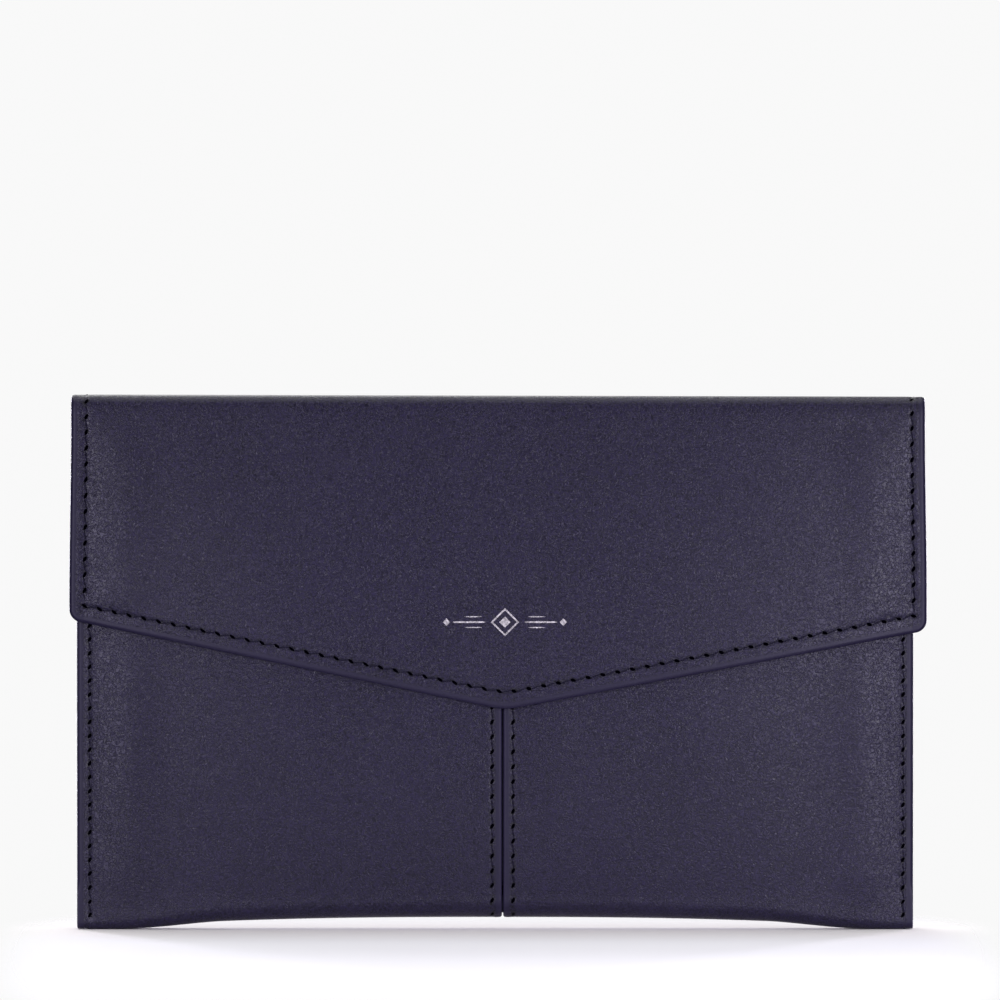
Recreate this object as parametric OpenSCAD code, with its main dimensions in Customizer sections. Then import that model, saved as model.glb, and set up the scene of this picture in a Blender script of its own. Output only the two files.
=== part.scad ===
// Long envelope wallet in smooth leather, standing upright on its bottom fold.
// X runs along the width, -Y is the front with the flap, +Z is up. Millimetres.
// The pouch has a front wall that swings out, a middle divider that follows it,
// and a back wall with card strips and a zipped pocket. The flap folds over a
// narrow top strip and closes with a pair of hidden magnets.

/* [Overall] */
// Height from the table to the top fold
wallet_h = 124.6; // [122:0.1:127]
// Width of the flap, which is the widest piece
flap_w = 200; // [198:0.5:206]
// Width of the pouch across its side seams
pouch_w = 195.3; // [190:0.1:196]
// How far the pouch sits left of the flap's middle
pouch_shift = 0.7; // [0:0.1:1]
// Y of the plane where the front and back walls meet at the side seams
seam_y = 1.80; // [1.5:0.01:2.2]

/* [Flap] */
// Height of the flap's lower left corner, before it is rounded
flap_low_left = 72.4; // [68:0.1:76]
// Height of the flap's lower right corner, before it is rounded
flap_low_right = 69.9; // [68:0.1:76]
// Height of the flap's point, before it is rounded
flap_tip_z = 51.5; // [48:0.1:56]
// How far the flap's point sits right of the middle
flap_tip_x = 1.6; // [0:0.1:3]
// Radius of the flap's lower corners
flap_corner_r = 2.4; // [1:0.1:4]
// Radius that rounds the flap's point
flap_tip_r = 18; // [5:1:30]
// Distance of the stitches from the flap's edge
flap_margin = 3.5; // [2.5:0.1:4.5]

/* [Pouch] */
// How far the centre seam sits right of the flap's middle
seam_x = 1.05; // [0:0.05:2]
// Height of the front wall's top edge
mouth_z = 108; // [106:0.5:110]
// Front wall's distance from the seam plane at the bottom corners
corner_front = 3.7; // [3.4:0.1:3.9]
// Back wall's distance from the seam plane at the bottom corners
corner_back = 3.3; // [3:0.1:3.6]
// Half thickness of the front wall's side edge near the mouth
front_side = 5.3; // [5:0.1:5.3]
// Half thickness of the back wall at the top fold
back_side = 6.5; // [6.3:0.1:6.8]
// How far the front wall swells in its middle
front_swell = 4.7; // [4.2:0.1:4.7]
// How far the back wall swells in its middle
back_swell = 3.4; // [3:0.1:3.6]
// How far the bottom fold rises in its middle
arch = 2.87; // [1:0.01:3.2]
// Width of the flat border outside the side stitches
border = 3; // [2.5:0.1:3.5]

/* [Leather and lining] */
// Thickness of the outer leather
leather = 1; // [0.9:0.05:1.05]
// Thickness of the stiffening boards in the flap and back
board = 0.4; // [0.3:0.05:0.45]
// Thickness of the lining
lining = 0.4; // [0.3:0.05:0.45]
// Thickness of the flap's own lining leather
flap_lining_t = 0.7; // [0.6:0.05:0.75]
// Glue line between two layers
glue = 0.05; // [0.04:0.01:0.06]

/* [Card strips and zip] */
// Height of the upper edge of the top card strip
strip_top = 105; // [100:0.5:107]
// Step down from one card strip to the next
strip_step = 11; // [9:0.5:12]
// Height of the zip chain's middle line
zip_z = 116.6; // [116.4:0.1:116.8]
// Length of the zip chain
zip_length = 158; // [140:1:158]
// Pitch of the zip's teeth on one tape
tooth_pitch = 2.4; // [2.2:0.1:3]

/* [Stitches and magnets] */
// Length of one stitch from hole to hole
stitch_pitch = 3.5; // [3:0.1:4]
// Thread radius
thread_r = 0.12; // [0.08:0.01:0.15]
// Magnet diameter
magnet_d = 12; // [8:0.5:14]
// Height of the magnets' centre
magnet_z = 62; // [60:0.5:66]

/* [Hidden] */

navy = [0.21, 0.20, 0.27];
thread_navy = [0.12, 0.12, 0.18];
cloth_navy = [0.16, 0.17, 0.24];
board_grey = [0.62, 0.58, 0.50];
metal = [0.78, 0.77, 0.75];

half_w = pouch_w / 2;
pouch_x = -pouch_shift;
pouch_left = pouch_x - half_w;
pouch_right = pouch_x + half_w;
flap_half = flap_w / 2;

// Heights of the bottom fold's ends and of the walls that start above them.
fold_end_z = 8;
front_start_z = 8.8;
back_start_z = 10;
swing_gap = 0.5;

// Share of the half width that rests flat at each bottom corner.
foot_share = 0.055;

// The top fold: a flat strip between two quarter rounds.
top_r = 3.3;
top_front = 9.2;
top_back = back_side;
round_z = wallet_h - top_r;
flap_side = 8.3;
flap_swell = 4.2;
flap_t = leather + board + flap_lining_t + 2 * glue;

front_t = leather + board + lining + 2 * glue;
back_t = leather + board + lining + 2 * glue;
pocket_gap_low = 0.5;
pocket_gap_top = 1.4;
card_panel_t = 0.6;
strip_t = 0.35;
card_panel_top = 114.4;
divider_front = 1.5;
divider_t = 0.7;
divider_half = 83;
divider_low = 14;
divider_top = 98;

gusset_depth = 13;
gusset_t = 0.6;
gusset_low = 14;
gusset_top = 107;
gusset_gap = 0.35;

// Distance of a thread's middle line from the leather that it lies on.
thread_out = thread_r + 0.15;
// Half the slit between the two front panels, and half the distance between their stitch rows.
seam_slit = 0.15;
seam_row = 2.45;
// Stiffening boards stop this far from the side seams.
board_inset = 4;
// Linings stop this far from the side seams.
lining_inset = 0.6;

function clamp01(t) = max(0, min(1, t));
function ease(t) = sin(90 * clamp01(t));
function smooth(t) = let (s = clamp01(t)) s * s * (3 - 2 * s);
function mix(a, b, t) = a + (b - a) * t;

// 1 in the middle of the pouch, falling to 0 at the side stitches.
function crown(x) = max(0, 1 - pow(abs(x - pouch_x) / (half_w - border), 2.5));
// The same for the flap, which is stiffer and flatter in its middle.
function flap_crown(x) = max(0, 1 - pow(abs(x) / (flap_half - flap_margin), 3));
function edge_share(x) = clamp01(abs(x - pouch_x) / half_w);
function rise(x) = arch * (1 - pow(edge_share(x), 2.5)) * smooth((1 - foot_share - edge_share(x)) / 0.3);

// Distance of each wall's outer face from the seam plane.
function front_half(x, z) =
    mix(corner_front, front_side, ease(z / 80))
    + front_swell * (1 - pow((z - 55) / 75, 2)) * crown(x);
function back_half(x, z) =
    mix(corner_back, back_side, ease(z / 100))
    + back_swell * max(0, 1 - pow((z - 50) / 71, 2)) * crown(x);
function flap_reach(x, z) =
    mix(top_front, flap_side, ease((round_z - z) / 60))
    + flap_swell * ease((round_z - z) / 62) * flap_crown(x);

function front_y(x, z, depth) = seam_y - front_half(x, z) + depth;
function back_y(x, z, depth) = seam_y + back_half(x, z) - depth;
function flap_y(x, z, depth) = seam_y - flap_reach(x, z) + depth;
function pocket_depth(x, z) =
    back_t + glue + mix(pocket_gap_low, pocket_gap_top, smooth((z - 85) / 20))
    * (1 - pow(edge_share(x), 8)) * smooth((z - 20) / 12);

// Lower edge of the flap at x, with its point and corners rounded, moved in by inset.
function flap_line(x) =
    x < flap_tip_x
    ? mix(flap_low_left, flap_tip_z, (x + flap_half) / (flap_tip_x + flap_half))
    : mix(flap_tip_z, flap_low_right, (x - flap_tip_x) / (flap_half - flap_tip_x));
function tip_lift(x) =
    let (slope = (flap_low_right - flap_tip_z) / (flap_half - flap_tip_x),
         reach = flap_tip_r * slope, d = abs(x - flap_tip_x))
    d < reach ? pow(reach - d, 2) / (2 * flap_tip_r) : 0;
function corner_lift(x, half, r) =
    let (d = half - abs(x)) d < r ? r - sqrt(max(0, r * r - pow(r - d, 2))) : 0;
function flap_low(x, inset) =
    flap_line(x) + tip_lift(x) + inset * 1.02
    + corner_lift(x, flap_half - inset, max(0.1, flap_corner_r - inset));

// n + 1 stations from a to b, closer together near both ends.
function stations(a, b, n) = [for (i = [0:n]) mix(a, b, (1 - cos(180 * i / n)) / 2)];
function even(a, b, n) = [for (i = [0:n]) mix(a, b, i / n)];

// A solid between two grids of points. Columns run along +X; near faces the way
// that X crossed with the row direction points.
module grid_solid(near, far) {
    cols = len(near);
    rows = len(near[0]);
    function at(f, i, j) = (f * cols + i) * rows + j;
    skin = [for (i = [0:cols - 2], j = [0:rows - 2], f = [0, 1], half = [0, 1])
        let (a = at(f, i, j), b = at(f, i, j + 1), c = at(f, i + 1, j + 1), d = at(f, i + 1, j))
        half == 0 ? (f == 0 ? [a, b, c] : [a, c, b]) : (f == 0 ? [a, c, d] : [a, d, c])];
    ends = [for (i = [0:cols - 2], k = [0, rows - 1])
        k == 0
        ? [at(0, i, k), at(0, i + 1, k), at(1, i + 1, k), at(1, i, k)]
        : [at(0, i + 1, k), at(0, i, k), at(1, i, k), at(1, i + 1, k)]];
    sides = [for (j = [0:rows - 2], k = [0, cols - 1])
        k == 0
        ? [at(0, k, j + 1), at(0, k, j), at(1, k, j), at(1, k, j + 1)]
        : [at(0, k, j), at(0, k, j + 1), at(1, k, j + 1), at(1, k, j)]];
    polyhedron(points = [for (g = [near, far]) for (c = g) for (p = c) p],
               faces = concat(skin, ends, sides), convexity = 6);
}

// A wall layer over the columns xs from low(x) to high(x); face(x, z, depth) is its
// outer face at depth 0, and the layer fills depth0 to depth1.
module wall_layer(xs, low, high, face, depth0, depth1, rows = 10) {
    function layer(depth) = [for (x = xs) [for (j = [0:rows])
        let (z = mix(low(x), high(x), j / rows)) [x, face(x, z, depth), z]]];
    a = layer(depth0);
    b = layer(depth1);
    front_first = a[0][0][1] < b[0][0][1];
    grid_solid(front_first ? a : b, front_first ? b : a);
}

// A straight piece of thread from p to q.
module thread(p, q) {
    d = q - p;
    length = norm(d);
    translate(p)
        rotate([0, acos(d[2] / length), atan2(d[1], d[0])])
            cylinder(h = length, r = thread_r, $fn = 6);
}

// Stitches along a row of points, each a little shorter than the pitch.
module stitch_row(points) {
    for (i = [0:len(points) - 2])
        thread(mix(points[i], points[i + 1], 0.12), mix(points[i], points[i + 1], 0.88));
}

module back_panel() {
    color(navy) wall_layer(stations(pouch_left, pouch_right, 20),
        function (x) back_start_z, function (x) round_z - swing_gap,
        function (x, z, d) back_y(x, z, d), 0, leather);
}

module back_board() {
    color(board_grey) wall_layer(stations(pouch_left + board_inset, pouch_right - board_inset, 16),
        function (x) 14, function (x) round_z - 3,
        function (x, z, d) back_y(x, z, d), leather + glue, leather + glue + board);
}

module back_lining() {
    color(cloth_navy) wall_layer(stations(pouch_left + lining_inset, pouch_right - lining_inset, 18),
        function (x) back_start_z + 0.6, function (x) round_z - swing_gap - 0.5,
        function (x, z, d) back_y(x, z, d), back_t - lining, back_t);
}

// Radius of the bottom fold: tight at the pressed corners, soft in the middle.
function fold_r(x) = mix(1.8, 4.2, crown(x));

// One column of the bottom fold's section, from the back wall down and round to the front.
function fold_column(x, depth) =
    let (front_a = seam_y - front_half(x, fold_end_z) + depth,
         back_a = seam_y + back_half(x, fold_end_z) - depth,
         r = fold_r(x) - depth,
         z = rise(x) + depth + r)
    concat(
        [[x, back_a, back_start_z - glue]],
        [for (t = [0:15:90]) [x, back_a - r + r * cos(t), z - r * sin(t)]],
        [for (t = [90:15:180]) [x, front_a + r + r * cos(t), z - r * sin(t)]],
        [[x, front_a, fold_end_z]]);

module bottom_fold(xs, depth0, depth1) {
    grid_solid([for (x = xs) fold_column(x, depth0)],
               [for (x = xs) fold_column(x, depth1)]);
}

module bottom_fold_left() {
    color(navy) bottom_fold(stations(pouch_left, seam_x - seam_slit, 12), 0, leather);
}

module bottom_fold_right() {
    color(navy) bottom_fold(stations(seam_x + seam_slit, pouch_right, 12), 0, leather);
}

module bottom_lining() {
    color(cloth_navy)
        bottom_fold(stations(pouch_left + lining_inset, pouch_right - lining_inset, 18),
                    leather + glue, leather + glue + lining);
}

// A side gusset: two leaves that meet in an inward fold. side is -1 left, 1 right.
module gusset(side) {
    edge_x = (side < 0 ? pouch_left : pouch_right) - side * 0.8;
    fold_x = edge_x - side * gusset_depth;
    fold_y = seam_y - divider_front + divider_t / 2;
    levels = even(gusset_low, gusset_top, 8);
    function front_in(z) = front_y(edge_x, z, front_t + gusset_gap);
    function back_in(z) = back_y(edge_x, z, back_t + card_panel_t + 3 * glue);
    outside = [
        [for (z = levels) [edge_x, front_in(z), z]],
        [for (z = levels) [fold_x, fold_y, z]],
        [for (z = levels) [edge_x, back_in(z), z]]];
    inside = [
        [for (z = levels) [edge_x, front_in(z) + gusset_t, z]],
        [for (z = levels) [fold_x + side * 3 * gusset_t, fold_y + 0.2, z]],
        [for (z = levels) [edge_x, back_in(z) - gusset_t, z]]];
    color(navy) grid_solid(side < 0 ? outside : inside, side < 0 ? inside : outside);
}

module gusset_left() { gusset(-1); }

module gusset_right() { gusset(1); }

// A layer over the columns xs and the levels zs.
module level_layer(xs, zs, face, depth0, depth1) {
    grid_solid([for (x = xs) [for (z = zs) [x, face(x, z, depth1), z]]],
               [for (x = xs) [for (z = zs) [x, face(x, z, depth0), z]]]);
}

// The card panel and its strips share columns and levels, so that their faces are parallel.
strip_half = 88;
level_step = strip_step / 2;
strip_xs = even(pouch_x - strip_half, pouch_x + strip_half, 16);
card_xs = concat([pouch_left + 0.8, pouch_left + 5], strip_xs, [pouch_right - 5, pouch_right - 0.8]);
function card_levels(low, high) =
    let (n = floor((high - low) / level_step)) [for (i = [n:-1:0]) high - i * level_step];

module card_panel() {
    levels = concat(card_levels(22, strip_top + level_step), [card_panel_top]);
    color(navy) level_layer(card_xs, levels,
        function (x, z, d) back_y(x, z, d + pocket_depth(x, z)), 0, card_panel_t);
}

// Card strip number n, counted from the top; each lies in front of the one above it.
module card_strip(n) {
    depth = card_panel_t + glue + (n - 1) * (strip_t + glue);
    color(navy) level_layer(strip_xs, card_levels(27, strip_top - (n - 1) * strip_step),
        function (x, z, d) back_y(x, z, d + pocket_depth(x, z)), depth, depth + strip_t);
}

module card_strip_1() { card_strip(1); }

module card_strip_2() { card_strip(2); }

module card_strip_3() { card_strip(3); }

module card_strip_4() { card_strip(4); }

// The zip lies flat against the back wall, in a slot between the card panel and the header.
zip_back = top_back - back_t - 0.2;
tape_t = 0.4;
tape_reach = 4.4;
tooth_y = 0.9;

module zip_header() {
    color(navy) wall_layer(even(pouch_left + 0.8, pouch_right - 0.8, 8),
        function (x) 118.7, function (x) round_z - swing_gap - 0.6,
        function (x, z, d) seam_y + zip_back - tape_t - glue - d, 0, 0.6, 2);
}

module zip_tape(low, high) {
    color(cloth_navy) translate([pouch_x - zip_length / 2 - 5, seam_y + zip_back - tape_t, low])
        cube([zip_length + 10, tape_t, high - low]);
}

module zip_tape_upper() { zip_tape(zip_z + 0.4, zip_z + tape_reach - 0.2); }

module zip_tape_lower() { zip_tape(zip_z - tape_reach, zip_z - 0.4); }

// One row of teeth. shift moves every second row by half a pitch so that the rows mesh.
module teeth(low, shift) {
    count = floor(zip_length / tooth_pitch) - 1;
    color(metal) for (i = [0:count - 1])
        translate([pouch_x - zip_length / 2 + shift + i * tooth_pitch,
                   seam_y + zip_back - tape_t - tooth_y - 0.02, low])
            cube([tooth_pitch * 0.44, tooth_y, 1.8]);
}

module zip_teeth_upper() { teeth(zip_z - 0.4, 0.6); }

module zip_teeth_lower() { teeth(zip_z - 1.4, 0.6 + tooth_pitch / 2); }

module zip_stops() {
    color(metal) for (side = [-1, 1])
        translate([pouch_x + side * (zip_length / 2 + 1.6) - 0.8,
                   seam_y + zip_back - tape_t - tooth_y - 0.02, zip_z - 1.7])
            cube([1.6, tooth_y, 3.4]);
}

// Row of stitches down the back's side border and along its bottom seam.
module back_stitches() {
    function side_points(x) = [for (i = [0:29]) let (z = 14 + i * stitch_pitch)
        [x, back_y(x, z, -thread_out), z]];
    seam_z = back_start_z + 2.5;
    count = floor((pouch_w - 2 * border) / stitch_pitch);
    color(thread_navy) {
        stitch_row(side_points(pouch_left + border));
        stitch_row(side_points(pouch_right - border));
        stitch_row([for (i = [1:count - 1]) let (x = pouch_left + border + i * stitch_pitch)
            [x, back_y(x, seam_z, -thread_out), seam_z]]);
    }
}

module front_leather(xs) {
    color(navy) wall_layer(xs, function (x) front_start_z, function (x) mouth_z,
        function (x, z, d) front_y(x, z, d), 0, leather);
}

module front_panel_left() { front_leather(stations(pouch_left, seam_x - seam_slit, 12)); }

module front_panel_right() { front_leather(stations(seam_x + seam_slit, pouch_right, 12)); }

tape_half = 7;

module front_board(xs) {
    color(board_grey) wall_layer(xs, function (x) 13, function (x) mouth_z - 2,
        function (x, z, d) front_y(x, z, d), leather + glue, leather + glue + board);
}

module front_board_left() { front_board(stations(pouch_left + board_inset, seam_x - tape_half - 0.2, 10)); }

module front_board_right() { front_board(stations(seam_x + tape_half + 0.2, pouch_right - board_inset, 10)); }

// The axis of both magnets points along Y.
module magnet_hole(extra, y0, y1) {
    translate([flap_tip_x, y0, magnet_z]) rotate([-90, 0, 0])
        cylinder(h = y1 - y0, d = magnet_d + extra, $fn = 48);
}

function magnet_front_y() = front_y(seam_x, magnet_z, leather + glue + 0.06);
magnet_t = 0.9;

module seam_tape() {
    color(cloth_navy) difference() {
        wall_layer(even(seam_x - tape_half, seam_x + tape_half, 4),
            function (x) 12, function (x) mouth_z - 2,
            function (x, z, d) front_y(x, z, d), leather + glue, leather + glue + board);
        magnet_hole(0.4, magnet_front_y() - 3, magnet_front_y() + 3);
    }
}

module front_lining() {
    color(cloth_navy) difference() {
        wall_layer(stations(pouch_left + lining_inset, pouch_right - lining_inset, 18),
            function (x) front_start_z + 0.6, function (x) mouth_z - 0.6,
            function (x, z, d) front_y(x, z, d), front_t - lining, front_t);
        magnet_hole(0.4, magnet_front_y() - 3, magnet_front_y() + 3);
    }
}

module front_magnet() {
    color(metal) magnet_hole(0, magnet_front_y(), magnet_front_y() + magnet_t);
}

module magnet_patch() {
    patch_y = magnet_front_y() + magnet_t + 0.12;
    color(navy) magnet_hole(8, patch_y, patch_y + 0.5);
}

module front_side_stitches() {
    function side_points(x) = [for (i = [0:28]) let (z = front_start_z + 0.5 + i * (stitch_pitch - 0.1))
        [x, front_y(x, z, -thread_out), z]];
    color(thread_navy) {
        stitch_row(side_points(pouch_left + border));
        stitch_row(side_points(pouch_right - border));
    }
}

module seam_stitches() {
    color(thread_navy) for (side = [-1, 1])
        stitch_row([for (i = [0:28])
            let (x = seam_x + side * seam_row, z = front_start_z + 0.8 + i * (stitch_pitch - 0.1))
            [x, front_y(x, z, -thread_out), z]]);
}

module divider() {
    color(navy) translate([pouch_x - divider_half, seam_y - divider_front, divider_low])
        cube([2 * divider_half, divider_t, divider_top - divider_low]);
}

// The slider's front plate, with a headed post that the pull turns on. Its rear plate
// is left out, because the teeth don't part.
slider_x = pouch_x + zip_length / 2 - 6;
slider_len = 8;
slider_h = 5.2;
slider_t = 0.7;
slider_front = seam_y + zip_back - tape_t - tooth_y - 0.3 - slider_t;
post_r = 0.8;
post_len = 1.25;
head_r = 1.4;
head_t = 0.4;
post_play = 0.08;

// A cylinder from y0 to y1 on the post's axis, which points along Y.
module on_post(r, y0, y1) {
    translate([slider_x, slider_front + y0, zip_z]) rotate([-90, 0, 0])
        cylinder(h = y1 - y0, r = r, $fn = 48);
}

module zip_slider() {
    color(metal) {
        translate([slider_x - slider_len / 2, slider_front, zip_z - slider_h / 2])
            cube([slider_len, slider_t, slider_h]);
        on_post(post_r, -post_len, 0.1);
        on_post(head_r, -post_len - head_t, -post_len);
    }
}

link_t = 0.7;
// The link stands off the slider, so that the tab's rear fold swings past it.
link_gap = 0.4;
link_y = slider_front - link_gap - link_t;
link_r = 1.9;
link_end = 5.2;

// The pull's link: a flat plate with a round hole for the post.
module pull_link() {
    color(metal) difference() {
        union() {
            on_post(link_r, link_y - slider_front, link_y + link_t - slider_front);
            translate([slider_x - link_r, link_y, zip_z - link_end])
                cube([2 * link_r, link_t, link_end]);
        }
        on_post(post_r + post_play, -post_len - 1, 1);
    }
}

tab_w = 5;
tab_wrap = 0.35;
tab_start = 3.2;
tab_end = 12.5;

// The pull's leather tab, folded round the link's lower end.
module pull_tab() {
    color(navy) difference() {
        translate([slider_x - tab_w / 2, link_y - tab_wrap, zip_z - tab_end])
            cube([tab_w, link_t + 2 * tab_wrap, tab_end - tab_start]);
        translate([slider_x - link_r, link_y, zip_z - link_end])
            cube([2 * link_r, link_t, link_end]);
    }
}

// The strip over the top: a flat middle with a quarter round at each side.
function top_section(r, back, front) = concat(
    [for (k = [0:8]) let (t = 90 * k / 8)
        [seam_y + back - top_r + r * cos(t), round_z + r * sin(t)]],
    [for (k = [0:8]) let (t = 90 + 90 * k / 8)
        [seam_y - front + top_r + r * cos(t), round_z + r * sin(t)]]);

module top_strip(r_out, r_in, half) {
    section = concat(top_section(r_out, top_back, top_front),
        [for (k = [17:-1:0]) top_section(r_in, top_back, top_front)[k]]);
    translate([half, 0, 0]) rotate([90, 0, -90]) linear_extrude(2 * half)
        polygon([for (p = section) [-p[0], p[1]]]);
}

module top_fold() { color(navy) top_strip(top_r, top_r - leather, flap_half); }

module top_fold_lining() {
    color(navy) top_strip(top_r - leather - glue, top_r - leather - glue - 0.5, flap_half - 0.6);
}

module flap_layer(inset, depth0, depth1, top, cols) {
    wall_layer(stations(-flap_half + inset, flap_half - inset, cols),
        function (x) flap_low(x, inset), function (x) top,
        function (x, z, d) flap_y(x, z, d), depth0, depth1);
}

module flap_panel() {
    color(navy) flap_layer(0, 0, leather, round_z - swing_gap, 36);
}

module flap_board() {
    color(board_grey) difference() {
        flap_layer(4.5, leather + glue, leather + glue + board, round_z - 4, 24);
        magnet_hole(0.4, flap_magnet_y() - 3, flap_magnet_y() + 3);
    }
}

module flap_lining() {
    color(navy) difference() {
        flap_layer(0.5, flap_t - flap_lining_t, flap_t, round_z - swing_gap - 0.5, 30);
        magnet_hole(0.4, flap_magnet_y() - 3, flap_magnet_y() + magnet_t + 0.1);
    }
}

function flap_magnet_y() = flap_y(flap_tip_x, magnet_z, leather + glue + 0.05);

module flap_magnet() {
    color(metal) magnet_hole(0, flap_magnet_y(), flap_magnet_y() + magnet_t - 0.1);
}

module flap_stitches() {
    x_in = flap_half - flap_margin;
    function low_point(x) =
        let (z = flap_line(x) + tip_lift(x) + flap_margin * 1.04) [x, flap_y(x, z, -thread_out), z];
    function side_points(x) =
        let (z0 = low_point(x)[2], n = floor((round_z - z0) / stitch_pitch))
        [for (i = [0:n]) let (z = z0 + i * stitch_pitch) [x, flap_y(x, z, -thread_out), z]];
    step = stitch_pitch * 0.98;
    count = floor(2 * x_in / step);
    color(thread_navy) {
        stitch_row(side_points(-x_in));
        stitch_row(side_points(x_in));
        stitch_row([for (i = [0:count]) low_point(-x_in + i * 2 * x_in / count)]);
    }
}

// A small generic foil ornament: a lozenge between two fine bars.
module foil_mark() {
    mark_z = 72;
    mark_y = flap_y(flap_tip_x, mark_z, -0.03);
    color(metal) translate([flap_tip_x, mark_y, mark_z]) rotate([90, 0, 0])
        linear_extrude(0.05) {
            polygon([[-1.6, 0], [0, 1.6], [1.6, 0], [0, -1.6]]);
            for (side = [-1, 1]) translate([side * 9 - 5.5, -0.25]) square([11, 0.5]);
        }
}

back_panel();
back_board();
back_lining();
bottom_fold_left();
bottom_fold_right();
bottom_lining();
gusset_left();
gusset_right();
card_panel();
card_strip_1();
card_strip_2();
card_strip_3();
card_strip_4();
zip_header();
zip_tape_upper();
zip_tape_lower();
zip_teeth_upper();
zip_teeth_lower();
zip_stops();
back_stitches();
front_panel_left();
front_panel_right();
front_board_left();
front_board_right();
seam_tape();
front_lining();
front_magnet();
magnet_patch();
front_side_stitches();
seam_stitches();
divider();
zip_slider();
pull_link();
pull_tab();
top_fold();
top_fold_lining();
flap_panel();
flap_board();
flap_lining();
flap_magnet();
flap_stitches();
foil_mark();
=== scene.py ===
"""A long envelope wallet in dark smooth leather: skins, stitches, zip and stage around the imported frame."""

import math

import bpy
import numpy as np
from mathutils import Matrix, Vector


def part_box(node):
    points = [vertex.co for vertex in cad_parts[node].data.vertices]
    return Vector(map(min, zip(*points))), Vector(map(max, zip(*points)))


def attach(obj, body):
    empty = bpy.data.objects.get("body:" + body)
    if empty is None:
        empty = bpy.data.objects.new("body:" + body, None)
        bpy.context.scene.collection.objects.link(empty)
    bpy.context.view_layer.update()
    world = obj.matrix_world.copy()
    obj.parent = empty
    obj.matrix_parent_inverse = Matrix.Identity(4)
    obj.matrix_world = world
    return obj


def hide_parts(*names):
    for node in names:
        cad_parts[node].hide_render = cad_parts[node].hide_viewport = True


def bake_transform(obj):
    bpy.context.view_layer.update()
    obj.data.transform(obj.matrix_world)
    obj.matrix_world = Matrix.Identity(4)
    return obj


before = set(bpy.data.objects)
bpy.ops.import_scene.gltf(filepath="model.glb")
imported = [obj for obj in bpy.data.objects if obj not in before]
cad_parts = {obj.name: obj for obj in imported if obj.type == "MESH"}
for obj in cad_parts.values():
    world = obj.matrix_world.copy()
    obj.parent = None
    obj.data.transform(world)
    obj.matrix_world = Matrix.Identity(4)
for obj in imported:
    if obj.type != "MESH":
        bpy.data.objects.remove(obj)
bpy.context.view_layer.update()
MM = 0.001


def box_mm(node):
    """A CAD node's lowest and highest corners in millimetres."""
    low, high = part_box(node)
    return np.array(low) / MM, np.array(high) / MM


# ---------------------------------------------------------------- sizes, in mm
FLAP_LOW, FLAP_HIGH = box_mm("flap_panel")
BACK_LOW, BACK_HIGH = box_mm("back_panel")
FRONT_LOW, FRONT_HIGH = box_mm("front_panel_right")
CARD_LOW, CARD_HIGH = box_mm("card_panel")
TOP_LOW, TOP_HIGH = box_mm("top_fold")
DIVIDER_LOW, DIVIDER_HIGH = box_mm("divider")
SLIDER_LOW, SLIDER_HIGH = box_mm("zip_slider")
LINK_LOW, LINK_HIGH = box_mm("pull_link")
TAB_LOW, TAB_HIGH = box_mm("pull_tab")
PATCH_LOW, PATCH_HIGH = box_mm("magnet_patch")
FOIL_LOW, FOIL_HIGH = box_mm("foil_mark")

FLAP_HALF = FLAP_HIGH[0]
POUCH_LEFT, POUCH_RIGHT = BACK_LOW[0], BACK_HIGH[0]
POUCH_X = (POUCH_LEFT + POUCH_RIGHT) / 2
HALF_W = (POUCH_RIGHT - POUCH_LEFT) / 2
MOUTH_Z = FRONT_HIGH[2]
SEAM_GAP, SEAM_OFFSET = 0.15, 2.45
SEAM_X = FRONT_LOW[0] - SEAM_GAP
ROUND_R = TOP_HIGH[2] - TOP_LOW[2]
ROUND_Z = TOP_LOW[2]
TOP_FRONT_Y, TOP_BACK_Y = TOP_LOW[1], TOP_HIGH[1]
TOP_MID_Y = (TOP_FRONT_Y + TOP_BACK_Y) / 2
TOP_Z = TOP_HIGH[2]

# Depths from the side seams to each wall: at the sides, and how much more in the middle.
CORNER_FRONT, CORNER_BACK = 3.7, 3.3
FRONT_SIDE, BACK_SIDE, FLAP_SIDE = 5.3, 6.5, 8.3
FRONT_SWELL, BACK_SWELL, FLAP_SWELL = 4.7, 3.4, 4.2
SEAM_Y = TOP_BACK_Y - BACK_SIDE
TOP_FRONT = SEAM_Y - TOP_FRONT_Y
FRONT_FULL_Z, FRONT_SWELL_Z, FRONT_SWELL_REACH = 80.0, 55.0, 75.0
BACK_FULL_Z, BACK_SWELL_Z, BACK_SWELL_REACH = 100.0, 50.0, 71.0
FLAP_FULL_DROP, FLAP_SWELL_DROP = 60.0, 62.0
BORDER, FLAP_BORDER = 3.0, 3.5
CROWN_POWER, FLAP_CROWN_POWER = 2.5, 3

# The arch of the lower edge, and the feet at its ends.
ARCH, FOOT_SHARE, ARCH_EASE = 2.87, 0.055, 0.3
FOLD_TOP = 8.0
FOLD_R_SIDE, FOLD_R_MIDDLE = 1.8, 4.2
TUCK_TOP, TUCK_DEPTH, TUCK_EASE = 15.0, 1.15, 1.6

# The gussets, and the cloth that lines the front.
GUSSET_LOW, GUSSET_TOP, GUSSET_DEPTH, GUSSET_T = 3.2, 106.9, 12.6, 0.6
GUSSET_INSET, GUSSET_GAP = 0.7, 0.45
CLOTH_SIDE, CLOTH_LOW, CLOTH_DROP, CLOTH_T = 3.2, 10.5, 6.0, 0.5

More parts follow.
